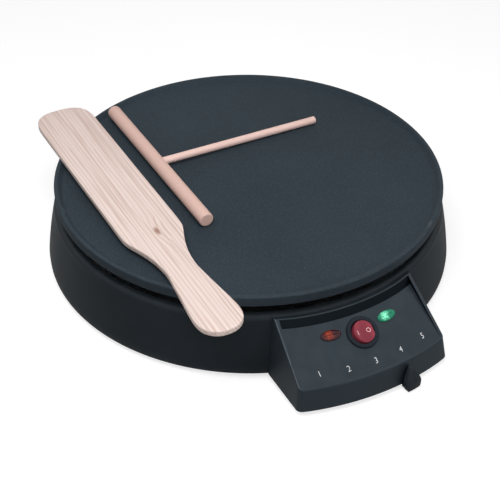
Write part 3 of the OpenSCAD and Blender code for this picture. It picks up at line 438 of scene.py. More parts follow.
class Wiring:
    """Short ways to place and join shader nodes in one tree."""

    def __init__(self, tree: bpy.types.NodeTree) -> None:
        """Works on a node tree."""
        self.tree = tree

    def node(self, kind: str, **settings: object) -> bpy.types.Node:
        """Adds a node.

        Args:
            kind: the node's type without its ShaderNode prefix.
            **settings: properties of the node.

        Returns:
            The new node.
        """
        made = self.tree.nodes.new("ShaderNode" + kind)
        for name, value in settings.items():
            setattr(made, name, value)
        return made

    def put(self, target: bpy.types.NodeSocket, value: object) -> None:
        """Links a socket to an input, or sets the input to a plain value."""
        if isinstance(value, bpy.types.NodeSocket):
            self.tree.links.new(value, target)
        else:
            target.default_value = value

    def feed(self, node: bpy.types.Node, **inputs: object) -> bpy.types.Node:
        """Sets or links a node's inputs, named with underscores for spaces.

        Args:
            node: the node.
            **inputs: a socket to link from, or a plain value.

        Returns:
            The node.
        """
        for name, value in inputs.items():
            self.put(node.inputs[name.replace("_", " ")], value)
        return node

    def math(self, operation: str, first: object, second: object = 0.0) -> bpy.types.NodeSocket:
        """Adds a Math node and returns its result."""
        node = self.node("Math", operation=operation)
        self.put(node.inputs[0], first)
        self.put(node.inputs[1], second)
        return node.outputs[0]

    def times(self, *values: object) -> bpy.types.NodeSocket:
        """Multiplies two or more values."""
        product = values[0]
        for value in values[1:]:
            product = self.math("MULTIPLY", product, value)
        return product

    def spread(self, value: bpy.types.NodeSocket, low: Flat, high: Flat = (0.0, 1.0)) -> bpy.types.NodeSocket:
        """Maps a value from one range onto another, clamped.

        Args:
            value: the value.
            low: the value's range.
            high: the range of the result.

        Returns:
            The mapped value.
        """
        node = self.node("MapRange", clamp=True)
        self.feed(node, Value=value, From_Min=low[0], From_Max=low[1], To_Min=high[0], To_Max=high[1])
        return node.outputs["Result"]

    def blend(self, share: object, first: object, second: object) -> bpy.types.NodeSocket:
        """Mixes two colours.

        Args:
            share: how much of the second colour goes in.
            first: the first colour.
            second: the second colour.

        Returns:
            The mixed colour.
        """
        node = self.node("Mix", data_type="RGBA")
        self.put(node.inputs[0], share)
        for index, colour in ((6, first), (7, second)):
            self.put(node.inputs[index], (*colour, 1.0) if isinstance(colour, tuple) else colour)
        return node.outputs[2]

    def noise(
        self, vector: bpy.types.NodeSocket, scale: object = 1.0, detail: float = 2.0
    ) -> bpy.types.NodeSocket:
        """Adds a Noise texture and returns its value."""
        return self.feed(self.node("TexNoise"), Vector=vector, Scale=scale, Detail=detail).outputs["Fac"]

    def cells(self, scale: float) -> bpy.types.NodeSocket:
        """Adds round cells on Object coordinates and returns the distance from each cell's middle."""
        node = self.node("TexVoronoi", feature="F1")
        return self.feed(node, Vector=self.place(), Scale=scale).outputs["Distance"]

    def stretch(self, vector: bpy.types.NodeSocket, scale: Spot) -> bpy.types.NodeSocket:
        """Scales a vector by its own factor along each axis."""
        return self.feed(self.node("Mapping"), Vector=vector, Scale=scale).outputs["Vector"]

    def split(self, vector: bpy.types.NodeSocket) -> dict[str, bpy.types.NodeSocket]:
        """Splits a vector into its X, Y and Z."""
        outputs = self.feed(self.node("SeparateXYZ"), Vector=vector).outputs
        return {axis: outputs[axis] for axis in "XYZ"}

    def rise(self) -> bpy.types.NodeSocket:
        """How far the surface faces up, from -1 to 1."""
        return self.split(self.node("NewGeometry").outputs["Normal"])["Z"]

    def place(
        self, move: Spot = (0, 0, 0), turned: Spot = (0, 0, 0), scale: Spot = (1, 1, 1)
    ) -> bpy.types.NodeSocket:
        """Object coordinates, moved, turned and scaled.

        Args:
            move: the move after scaling.
            turned: the turn, in degrees.
            scale: the scale.

        Returns:
            The coordinates.
        """
        source = self.node("TexCoord").outputs["Object"]
        node = self.node("Mapping")
        self.feed(node, Vector=source, Location=move, Rotation=[math.radians(a) for a in turned], Scale=scale)
        return node.outputs["Vector"]


class Groups:
    """The shader node groups, each built once and then placed in the finishes."""

    made: dict[Effect, bpy.types.NodeTree] = {}

    @classmethod
    def of(cls, effect: Effect) -> bpy.types.NodeTree:
        """Returns the group for an effect, built when it is first asked for."""
        if effect not in cls.made:
            build = {
                Effect.EDGE_WEAR: cls.edge_wear,
                Effect.FINE_GRAIN: cls.fine_grain,
                Effect.SETTLED_DUST: cls.settled_dust,
                Effect.RECESS_WALLS: cls.recess_walls,
                Effect.WOOD_GRAIN: cls.wood_grain,
            }[effect]
            build()
        return cls.made[effect]

    @classmethod
    def start(
        cls, effect: Effect, inputs: dict[str, float | None], outputs: Sequence[str]
    ) -> tuple[Wiring, bpy.types.Node, bpy.types.Node]:
        """Starts a group with its sockets.

        Args:
            effect: what the group is for.
            inputs: the inputs' names and values, with None for a vector.
            outputs: the names of the values that it puts out.

        Returns:
            The group's wiring, and its input and output nodes.
        """
        tree = bpy.data.node_groups.new(effect.value, "ShaderNodeTree")
        for label, value in inputs.items():
            kind = Socket.VECTOR if value is None else Socket.VALUE
            made = tree.interface.new_socket(name=label, in_out="INPUT", socket_type=kind.value)
            if value is not None:
                made.default_value = value
        for label in outputs:
            tree.interface.new_socket(name=label, in_out="OUTPUT", socket_type=Socket.VALUE.value)
        cls.made[effect] = tree
        return Wiring(tree), tree.nodes.new("NodeGroupInput"), tree.nodes.new("NodeGroupOutput")

    @classmethod
    def edge_wear(cls) -> None:
        """Builds the group that finds the sharp edges of a piece, which are lightened as worn edges and as a
        painted highlight.
        """
        wires, source, result = cls.start(Effect.EDGE_WEAR, {"Amount": 0.3, "Scale": 60.0}, ["Mask"])
        edge = wires.spread(wires.node("NewGeometry").outputs["Pointiness"], (0.505, 0.6))
        noise = wires.noise(wires.place(), source.outputs["Scale"], 3.0)
        rough = wires.spread(noise, (0.3, 0.65), (0.25, 1.0))
        wires.feed(result, Mask=wires.times(edge, rough, source.outputs["Amount"]))

    @classmethod
    def fine_grain(cls) -> None:
        """Builds the group for the fine grain of a moulded or coated surface."""
        wires, source, result = cls.start(
            Effect.FINE_GRAIN, {"Scale": 1200.0, "Cloud Scale": 18.0}, ["Height", "Tone", "Cloud"]
        )
        spot = wires.place()
        fine = wires.noise(spot, source.outputs["Scale"], 2.0)
        cloud = wires.noise(spot, source.outputs["Cloud Scale"], 4.0)
        height, tone = wires.spread(fine, (0.3, 0.7)), wires.spread(fine, (0.42, 0.72))
        wires.feed(result, Height=height, Tone=tone, Cloud=wires.spread(cloud, (0.3, 0.7)))

    @classmethod
    def settled_dust(cls) -> None:
        """Builds the group for the thin dust on what faces up."""
        wires, source, result = cls.start(Effect.SETTLED_DUST, {"Amount": 0.1}, ["Mask"])
        up = wires.spread(wires.rise(), (0.5, 1.0))
        patch = wires.spread(wires.noise(wires.place(), 90.0, 6.0), (0.4, 0.75))
        wires.feed(result, Mask=wires.times(up, patch, source.outputs["Amount"]))

    @classmethod
    def recess_walls(cls) -> None:
        """Builds the group that masks painted shade on the steep walls inside the panel's recess and its bores,
        and a painted highlight on the roundings along the panel's sides and the step's top edge.
        """
        wires, source, result = cls.start(
            Effect.RECESS_WALLS, {"Front": 0.214, "Side": 0.0665, "Lean": 0.125}, ["Walls", "Roundings"]
        )
        place, rise = wires.split(wires.place()), wires.rise()
        squares = [wires.math("POWER", place[axis], 2) for axis in "XY"]
        radius = wires.math("SQRT", wires.math("ADD", *squares))
        lean = wires.times(place["Z"], source.outputs["Lean"])
        across = wires.math("ADD", wires.math("ABSOLUTE", place["X"]), lean)
        within = wires.math("LESS_THAN", across, source.outputs["Side"])
        inside = wires.times(within, wires.math("LESS_THAN", radius, source.outputs["Front"]))
        # Painted shade: the steep faces inside the recess and its bores.
        walls = wires.times(inside, wires.spread(rise, (0.52, 0.6), (1.0, 0.0)))
        # Painted highlight: the roundings, mottled, strongest along the left side and the step's top edge and
        # faint elsewhere.
        turned = wires.times(wires.spread(rise, (0.56, 0.64)), wires.spread(rise, (0.7, 0.8), (1.0, 0.0)))
        noise = wires.noise(wires.place(), 110.0, 3.0)
        on_wall = wires.math("GREATER_THAN", across, 0.0662)
        on_left = wires.math("LESS_THAN", place["X"], 0.0)
        back = wires.times(wires.math("LESS_THAN", radius, 0.1725), 0.35)
        share = wires.math("MAXIMUM", wires.math("MAXIMUM", wires.times(on_wall, on_left), back), 0.2)
        painted_highlight = wires.times(turned, wires.spread(noise, (0.3, 0.65), (0.35, 1.0)), share)
        wires.feed(result, Walls=walls, Roundings=painted_highlight)

    @classmethod
    def wood_grain(cls) -> None:
        """Builds the group for growth rings and fibres, with the grain along the vector's Y."""
        wires, source, result = cls.start(
            Effect.WOOD_GRAIN, {"Vector": None, "Rings": 120.0, "Waver": 2.0}, ["Rings", "Fibres", "Height"]
        )
        spot = source.outputs["Vector"]
        drift = wires.noise(wires.stretch(spot, (9.0, 1.6, 9.0)))
        split = wires.split(spot)
        across = wires.math("ADD", split["X"], wires.times(split["Z"], 0.6))
        phase = wires.times(across, source.outputs["Rings"])
        phase = wires.math("ADD", phase, wires.times(drift, source.outputs["Waver"]))
        jitter = wires.noise(wires.stretch(spot, (95.0, 7.0, 95.0)), detail=1.0)
        saw = wires.math("FRACT", wires.math("ADD", phase, wires.times(jitter, 1.7)))
        ring = wires.times(wires.math("POWER", saw, 3.4), wires.spread(saw, (0.9, 1.0), (1.0, 0.0)))
        breaks = wires.noise(wires.stretch(spot, (160.0, 24.0, 160.0)))
        ring = wires.times(ring, wires.spread(breaks, (0.3, 0.62), (0.3, 1.0)))
        fibre = wires.noise(wires.stretch(spot, (1500.0, 22.0, 1500.0)), detail=3.0)
        fibres = wires.spread(fibre, (0.35, 0.7))
        height = wires.math("ADD", wires.times(fibres, 0.6), wires.times(ring, 0.4))
        wires.feed(result, Rings=ring, Fibres=fibres, Height=height)

# ---- Finishes --------------------------------------------------------------------------------------

Colour = tuple[float, float, float]


def tinted(colour: Colour, factor: float, add: float = 0.0) -> Colour:
    """Returns a colour with each channel scaled, raised and kept to 1 at most."""
    return tuple(min(1.0, c * factor + add) for c in colour)


class Material:
    """A material under construction, with its shader and its wiring."""

    def __init__(self, name: str) -> None:
        """Starts a material with a plain Principled shader."""
        self.data = bpy.data.materials.new(name)
        self.data.use_nodes = True
        self.wires = Wiring(self.data.node_tree)
        self.shader = next(n for n in self.data.node_tree.nodes if n.type == "BSDF_PRINCIPLED")

    def surface(self, **values: object) -> None:
        """Sets or links the shader's own sockets."""
        self.wires.feed(self.shader, **values)

    def group(self, effect: Effect, **values: object) -> dict[str, bpy.types.NodeSocket]:
        """Places the group for an effect in the material, feeds it and returns its outputs by name."""
        node = self.wires.node("Group")
        node.node_tree = Groups.of(effect)
        self.wires.feed(node, **values)
        return {output.name: output for output in node.outputs}

    def bump(self, height: bpy.types.NodeSocket, strength: float, depth: float) -> None:
        """Raises the surface by a height.

        Args:
            height: the height, from 0 to 1.
            strength: the strength of the effect.
            depth: the real depth of the relief, in millimetres.
        """
        node = self.wires.node("Bump")
        self.wires.feed(node, Height=height, Strength=strength, Distance=depth * MM)
        self.surface(Normal=node.outputs["Normal"])


@dataclass(frozen=True)
class MouldedPlastic:
    """Moulded plastic or rubber: a fine spark-eroded grain, edges lightened as worn and as a painted highlight,
    and a trace of dust; for the housing also painted shade on its recess walls and a painted highlight on its
    panel's roundings.
    """

    name: str
    colour: Colour
    roughness: float = 0.5
    grain: float = 1300.0
    relief: float = 0.02
    # How much the edges are lightened, partly as worn edges and partly as a painted highlight.
    wear: float = 0.25
    dust: float = 0.03
    gloss: float = 0.07
    sheen: Colour = (0.8, 0.92, 1.0)
    # How strongly the panel's roundings get a painted highlight; above 0 the recess walls also get painted
    # shade.
    rub: float = 0.0

    def make(self) -> bpy.types.Material:
        """Builds the material."""
        m = Material(self.name)
        w = m.wires
        grain = m.group(Effect.FINE_GRAIN, Scale=self.grain, Cloud_Scale=22.0)
        wear = m.group(Effect.EDGE_WEAR, Amount=self.wear, Scale=140.0)["Mask"]
        dust = m.group(Effect.SETTLED_DUST, Amount=self.dust)["Mask"]
        light = tinted(self.colour, 1.16)
        base = w.blend(grain["Cloud"], tinted(self.colour, 0.86), light)
        base = w.blend(w.times(grain["Tone"], 0.35), base, light)
        # Lighter edges: partly worn, partly a painted highlight.
        base = w.blend(wear, base, tinted(self.colour, 2.6, 0.02))
        # Painted highlight on the panel's roundings, and painted shade on the recess walls: darker and
        # metallic, so they reflect almost nothing.
        if self.rub:
            recess = m.group(Effect.RECESS_WALLS)
            base = w.blend(w.times(recess["Roundings"], self.rub), base, tinted(self.colour, 5.0, 0.08))
            base = w.blend(recess["Walls"], base, tinted(self.colour, 0.7))
            m.surface(Metallic=recess["Walls"])
        base = w.blend(dust, base, (0.32, 0.31, 0.3))
        rough = w.spread(grain["Cloud"], (0.0, 1.0), (self.roughness - 0.05, self.roughness + 0.05))
        rough = w.math("ADD", rough, w.times(dust, 0.6))
        m.surface(Base_Color=base, Roughness=rough, Specular_IOR_Level=self.gloss)
        m.surface(Specular_Tint=(*self.sheen, 1.0))
        m.bump(grain["Height"], 0.5, self.relief)
        return m.data


@dataclass(frozen=True)
class CoatedCasting:
    """Dark non-stick coating sprayed over a casting: a fine orange peel with paler specks and edges lightened
    as a painted highlight and as worn coating.
    """

    name: str
    colour: Colour
    roughness: float = 0.52
    speck: Colour = (0.10, 0.125, 0.145)
    gloss: float = 0.05
    sheen: Colour = (0.8, 0.92, 1.0)

    def make(self) -> bpy.types.Material:
        """Builds the material."""
        m = Material(self.name)
        w = m.wires
        peel = m.group(Effect.FINE_GRAIN, Scale=900.0, Cloud_Scale=9.0)
        wear = m.group(Effect.EDGE_WEAR, Amount=0.5, Scale=90.0)["Mask"]
        specks = w.spread(w.cells(900.0), (0.08, 0.3), (0.6, 0.0))
        base = w.blend(peel["Cloud"], tinted(self.colour, 0.9), tinted(self.colour, 1.1))
        base = w.blend(specks, base, self.speck)
        # Painted highlight: the rim's edges are lightened, partly as worn coating.
        base = w.blend(wear, base, (0.13, 0.15, 0.17))
        rough = w.spread(peel["Tone"], (0.0, 1.0), (self.roughness - 0.05, self.roughness + 0.07))
        m.surface(Base_Color=base, Roughness=rough, Specular_IOR_Level=self.gloss)
        m.surface(Specular_Tint=(*self.sheen, 1.0))
        m.bump(peel["Height"], 0.6, 0.05)
        return m.data


@dataclass(frozen=True)
class BareMetal:
    """Rolled, turned or plated metal: brush marks, a soft tarnish and bright worn edges."""

    name: str
    colour: Colour
    roughness: float = 0.3
    tarnish: Colour = (0.3, 0.29, 0.28)
    tarnish_share: float = 0.25
    along: Spot = (900.0, 900.0, 40.0)

    def make(self) -> bpy.types.Material:
        """Builds the material."""
        m = Material(self.name)
        w = m.wires
        marks = w.spread(w.noise(w.place(scale=self.along), 1.0, 3.0), (0.35, 0.68))
        cloud = m.group(Effect.FINE_GRAIN, Scale=700.0, Cloud_Scale=45.0)["Cloud"]
        wear = m.group(Effect.EDGE_WEAR, Amount=0.4, Scale=120.0)["Mask"]
        base = w.blend(w.times(cloud, self.tarnish_share), self.colour, self.tarnish)
        base = w.blend(w.times(marks, 0.18), base, tinted(self.colour, 0.7))
        base = w.blend(wear, base, tinted(self.colour, 1.2, 0.05))
        rough = w.spread(marks, (0.0, 1.0), (self.roughness - 0.06, self.roughness + 0.1))
        m.surface(Base_Color=base, Roughness=rough, Metallic=1.0)
        m.bump(marks, 0.25, 0.01)
        return m.data


@dataclass(frozen=True)
class PineBoard:
    """Sanded, unvarnished pine: growth rings along the board, fibres, and a small knot."""

    name: str
    pale: Colour = (0.84, 0.70, 0.645)
    ring: Colour = (0.50, 0.32, 0.26)
    knot: Colour = (0.30, 0.15, 0.10)
    knot_at: Spot = (-106.3, -46.0, 79.0)
    turned: float = 0.7

    def make(self) -> bpy.types.Material:
        """Builds the material."""
        m = Material(self.name)
        w = m.wires
        along = (0.0, 0.0, -self.turned)
        flat = 0.4
        x, y, _ = mm(self.knot_at)
        near = w.place(move=(-x, -y * flat, 0.0), scale=(1.0, flat, 0.0))
        reach = w.feed(w.node("VectorMath", operation="LENGTH"), Vector=near).outputs["Value"]
        side = w.feed(w.node("CombineXYZ"), X=w.spread(reach, (0.0, 0.009), (0.0045, 0.0)))
        moved = w.node("VectorMath", operation="ADD")
        w.put(moved.inputs[0], w.place(turned=along))
        w.put(moved.inputs[1], side.outputs[0])
        wood = m.group(Effect.WOOD_GRAIN, Vector=moved.outputs[0], Rings=300.0, Waver=3.2)
        base = w.blend(wood["Rings"], self.pale, self.ring)
        base = w.blend(w.times(wood["Fibres"], 0.4), base, tinted(self.pale, 0.8))
        streak = w.noise(w.place(turned=along, scale=(420.0, 8.0, 420.0)), 1.0, 3.0)
        base = w.blend(w.spread(streak, (0.5, 0.72), (0.0, 0.6)), base, self.ring)
        base = w.blend(w.spread(reach, (0.0009, 0.0028), (0.85, 0.0)), base, self.knot)
        rough = w.spread(wood["Fibres"], (0.0, 1.0), (0.62, 0.78))
        m.surface(Base_Color=base, Roughness=rough, Specular_IOR_Level=0.35)
        m.bump(wood["Height"], 0.35, 0.05)
        return m.data


@dataclass(frozen=True)
class DowelWood:
    """A sanded beech dowel: close, short fibres and barely any rings."""

    name: str
    pale: Colour = (0.72, 0.49, 0.425)
    ring: Colour = (0.62, 0.38, 0.31)
    lengthwise: Spot = (0.0, 0.0, 0.0)

    def make(self) -> bpy.types.Material:
        """Builds the material."""
        m = Material(self.name)
        w = m.wires
        spot = w.place(turned=self.lengthwise)
        wood = m.group(Effect.WOOD_GRAIN, Vector=spot, Rings=330.0, Waver=3.5)
        flecks = w.noise(w.place(turned=self.lengthwise, scale=(1400.0, 260.0, 1400.0)))
        base = w.blend(w.times(wood["Rings"], 0.3), self.pale, self.ring)
        base = w.blend(w.spread(flecks, (0.58, 0.72), (0.0, 0.4)), base, tinted(self.pale, 0.78))
        rough = w.spread(wood["Fibres"], (0.0, 1.0), (0.58, 0.74))
        m.surface(Base_Color=base, Roughness=rough, Specular_IOR_Level=0.35)
        m.bump(wood["Height"], 0.25, 0.03)
        return m.data


@dataclass(frozen=True)
class JewelLens:
    """A moulded prismatic lamp lens, lit from inside off its middle."""

    name: str
    deep: Colour
    lit: Colour
    heart: Spot
    reach: float = 6.2
    glow: float = 0.5

    def make(self) -> bpy.types.Material:
        """Builds the material."""
        m = Material(self.name)
        w = m.wires
        spot = w.place(move=tuple(-c * MM for c in self.heart))
        away = w.feed(w.node("VectorMath", operation="LENGTH"), Vector=spot).outputs["Value"]
        cells = w.cells(520.0)
        jitter = w.spread(cells, (0.0, 0.7), (-0.0012, 0.0016))
        light = w.spread(w.math("ADD", away, jitter), (0.0012, self.reach * MM), (1.0, 0.0))
        base = w.blend(w.math("POWER", light, 1.35), self.deep, self.lit)
        m.surface(Base_Color=base, Emission_Color=base, Emission_Strength=self.glow)
        m.surface(Roughness=0.2, Specular_IOR_Level=0.3, Coat_Weight=0.1, Coat_Roughness=0.08)
        m.bump(cells, 0.7, 0.35)
        return m.data


@dataclass(frozen=True)
class ClearGlass:
    """Blown lamp glass with a faint waviness."""

    name: str
    colour: Colour = (0.95, 0.82, 0.7)

    def make(self) -> bpy.types.Material:
        """Builds the material."""
        m = Material(self.name)
        wave = m.group(Effect.FINE_GRAIN, Scale=320.0, Cloud_Scale=60.0)
        tint = m.wires.blend(wave["Cloud"], self.colour, tinted(self.colour, 0.94))
        m.surface(Base_Color=tint, Roughness=0.06, Transmission_Weight=0.9, IOR=1.47)
        m.bump(wave["Height"], 0.1, 0.02)
        return m.data


@dataclass(frozen=True)
class Ceramic:
    """Pressed, unglazed ceramic with small dark grains."""

    name: str
    colour: Colour = (0.78, 0.76, 0.69)

    def make(self) -> bpy.types.Material:
        """Builds the material."""
        m = Material(self.name)
        w = m.wires
        grain = m.group(Effect.FINE_GRAIN, Scale=1500.0, Cloud_Scale=80.0)
        base = w.blend(grain["Cloud"], self.colour, tinted(self.colour, 0.9))
        base = w.blend(w.spread(grain["Tone"], (0.8, 1.0), (0.0, 0.5)), base, (0.4, 0.36, 0.3))
        m.surface(Base_Color=base, Roughness=w.spread(grain["Height"], (0.0, 1.0), (0.55, 0.75)))
        m.bump(grain["Height"], 0.3, 0.03)
        return m.data


@dataclass(frozen=True)
class PrintInk:
    """Pad-printed ink: nearly even, with a faint mottle."""

    name: str
    colour: Colour

    def make(self) -> bpy.types.Material:
        """Builds the material."""
        m = Material(self.name)
        grain = m.group(Effect.FINE_GRAIN, Scale=2200.0, Cloud_Scale=300.0)
        ink = m.wires.blend(grain["Tone"], self.colour, tinted(self.colour, 0.88))
        m.surface(Base_Color=ink, Roughness=0.5)
        m.bump(grain["Height"], 0.1, 0.01)
        return m.data


class Finishes:
    """All the materials of the object, made once and handed out by name."""

    def __init__(self) -> None:
        """Makes every material."""
        turned, sheet, strip = (40.0, 40.0, 1600.0), (30.0, 900.0, 900.0), (900.0, 30.0, 900.0)
        charcoal, housing, crimson = (0.014, 0.018, 0.022), (0.014, 0.019, 0.024), (0.21, 0.028, 0.044)
        cool, rosy = (0.7, 0.88, 1.0), (1.0, 0.8, 0.84)
        red_heart = PANEL.spot(Lamps.radius, -Lamps.angle, (-2.0, 0.4, 1.6))
        green_heart = PANEL.spot(Lamps.radius, Lamps.angle, (-2.2, 0.4, 1.6))
        recipes = [
            # The moulding's lighter edges are partly worn and partly a painted highlight.
            MouldedPlastic("charcoal moulding", charcoal, 0.42, wear=0.5, gloss=0.14),
            # The housing's finish paints shade on its recess walls and a highlight on its panel's roundings.
            MouldedPlastic("charcoal housing", housing, 0.4, wear=0.0, gloss=0.42, sheen=cool, rub=0.8),
            MouldedPlastic("foot rubber", (0.012, 0.012, 0.013), 0.75, grain=900.0, dust=0.08),
            MouldedPlastic("switch black", (0.017, 0.021, 0.028), 0.34, relief=0.008, dust=0.02),
            MouldedPlastic("rocker crimson", crimson, 0.3, relief=0.006, dust=0.02, gloss=0.3, sheen=rosy),
            MouldedPlastic("brown sleeve", (0.14, 0.06, 0.03), 0.45, dust=0.0),
            MouldedPlastic("blue sleeve", (0.03, 0.09, 0.28), 0.45, dust=0.0),
            MouldedPlastic("green sleeve", (0.12, 0.3, 0.04), 0.45, dust=0.0),
            CoatedCasting("plate coating", (0.029, 0.040, 0.050)),
            BareMetal("zinc steel", (0.58, 0.58, 0.57)),
            BareMetal("turned steel", (0.5, 0.51, 0.52), 0.26, along=turned),
            BareMetal("heat-dulled steel", (0.4, 0.39, 0.38), 0.42, (0.2, 0.15, 0.11), 0.6),
            BareMetal("aluminised sheet", (0.62, 0.63, 0.64), 0.36, along=sheet),
            BareMetal("brass", (0.68, 0.5, 0.22), 0.27, (0.42, 0.28, 0.12)),
            BareMetal("rolled bimetal", (0.46, 0.38, 0.27), 0.38, along=strip),
            PineBoard("pine board"),
            DowelWood("beech bar"),
            DowelWood("beech handle", (0.84, 0.60, 0.54), (0.72, 0.46, 0.39), lengthwise=(0.0, 0.0, 90.0)),
            JewelLens("red jewel", (0.030, 0.005, 0.008), (0.30, 0.035, 0.012), red_heart, glow=0.16),
            JewelLens("green jewel", (0.006, 0.13, 0.07), (0.22, 0.80, 0.50), green_heart, glow=0.6),
            ClearGlass("lamp glass"),
            Ceramic("ceramic"),
            PrintInk("white ink", (0.88, 0.89, 0.9)),
            PrintInk("rose ink", (0.78, 0.5, 0.52)),
        ]
        self.made = {recipe.name: recipe.make() for recipe in recipes}

    def dress(self, piece: bpy.types.Object, name: str) -> None:
        """Gives a piece one finish all over."""
        piece.data.materials.clear()
        piece.data.materials.append(self.made[name])

    def dress_node(self, node: str, name: str) -> None:
        """Gives a carried-over CAD node a finish, in its own material slots."""
        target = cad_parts[node]
        if not target.material_slots:
            target.data.materials.append(self.made[name])
        for slot in target.material_slots:
            slot.material = self.made[name]


# ---- The housing's sloping panel ---------------------------------------------------------------------


@dataclass(frozen=True)
class Panel:
    """The housing's sloping panel, a cone round the plate's axis, and places on it."""

    foot_r: float = 213.7
    foot_z: float = 24.8
    head_r: float = 173.0
    head_z: float = 48.8

    @property
    def slope(self) -> float:
        """The panel's slope, in degrees."""
        return math.degrees(math.atan((self.head_z - self.foot_z) / (self.foot_r - self.head_r)))

    def height(self, radius: float) -> float:
        """The height of the panel's surface at a distance from the plate's axis."""
        return self.head_z - (radius - self.head_r) * math.tan(math.radians(self.slope))

    def place(self, radius: float, angle: float) -> Matrix:
        """The move that sets a piece on the panel, with its +Z square to the surface."""
        return turn(angle) @ shift(0, -radius, self.height(radius)) @ turn(self.slope, "X")

    def spot(self, radius: float, angle: float, at: Spot) -> Spot:
        """A point given in the frame of a place on the panel, in the machine's frame."""
        return tuple(c / MM for c in self.place(radius, angle) @ mm(at))


PANEL = Panel()


# ---- Sub-assemblies ------------------------------------------------------------------------------------


def offer(
    piece: bpy.types.Object,
    body: str,
    stands_for: Sequence[str],
    finishes: Finishes,
    finish: str,
) -> bpy.types.Object:
    """Dresses a finished piece and enters it in the frame.

    Args:
        piece: the piece, in its place.
        body: the CAD body that it moves with.
        stands_for: the CAD nodes that it replaces.
        finishes: the materials.
        finish: the name of its finish.

    Returns:
        The piece.
    """
    finishes.dress(piece, finish)
    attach(piece, body)
    if stands_for:
        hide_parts(*stands_for)
    LOG.info("%s: %d faces, rides on %s", piece.name, len(piece.data.polygons), body)
    return piece


@dataclass
class CookingPlate:
    """The round cast plate with its raised rim, and the cast ridge that holds the element underneath."""

    radius: float = 165.0
    under_z: float = 65.0
    surface_z: float = 70.5
    rim_z: float = 74.0
    rim_w: float = 3.5
    rim_slope: float = 3.0
    edge: float = 1.2
    ridge_r: float = 105.0
    ridge_w: float = 12.0
    ridge_z: float = 61.45
    element_gap: float = 44.0
    post_x: float = 53.0
    boss_z: float = 61.0
    boss_r: float = 7.0
    sunk: float = 1.0
    cut: float = 0.8
    lip: float = 0.7
    fillet: tuple[Flat, ...] = ((1.1, 1.25), (0.4, 0.5), (-0.3, 0.12), (-1.3, 0.0))

    def section(self) -> list[Flat]:
        """The plate's section, from its middle underneath to its middle on top."""
        e, lip = self.edge, self.lip
        top = self.radius - self.rim_w
        foot = top - self.rim_slope
        return [
            (0.0, self.under_z),
            (self.radius - 12.0, self.under_z),
            *arc((self.radius - e, self.under_z + e), e, -90, 0, 4),
            (self.radius - 0.05, self.rim_z - e - 2.2),
            *arc((self.radius - e, self.rim_z - e), e, 0, 90, 5),
            *arc((top + lip, self.rim_z - lip), lip, 95, 138, 3),
            *[(foot + out, self.surface_z + rise) for out, rise in self.fillet],
            *[(radius, self.surface_z) for radius in (110.0, 55.0, 0.0)],
        ]

    def ridge(self) -> bpy.types.Object:
        """Models the ridge that holds the element, open between the element's two ends."""
        inside, outside = self.ridge_r - self.ridge_w / 2, self.ridge_r + self.ridge_w / 2
        top, cut = self.under_z + self.sunk, self.cut
        section = [
            (inside, top),
            (inside, self.ridge_z + cut),
            (inside + cut, self.ridge_z),
            (outside - cut, self.ridge_z),
            (outside, self.ridge_z + cut),
            (outside, top),
        ]
        gap = self.element_gap
        return Bench.lathe("ridge", section, [(360.0 - gap, 120)], closed=True, first=-90.0 + gap / 2)

    def build(self) -> bpy.types.Object:
        """Models the plate."""
        plate = Bench.lathe("plate", self.section(), [(360, 288)])
        boss = Bench.rod("boss", self.boss_r, self.boss_z, self.under_z + self.sunk, 32)
        Bench.soften(boss, self.cut)
        x = self.post_x
        bosses = Bench.copies(boss, [shift(i * x, j * x, 0) for i in (-1, 1) for j in (-1, 1)])
        return Bench.smooth(Bench.join("plate", [plate, self.ridge(), bosses]), 30)

    def dress(self, finishes: Finishes) -> None:
        """Builds the plate and enters it."""
        offer(self.build(), "machine", ["cooking_plate"], finishes, "plate coating")


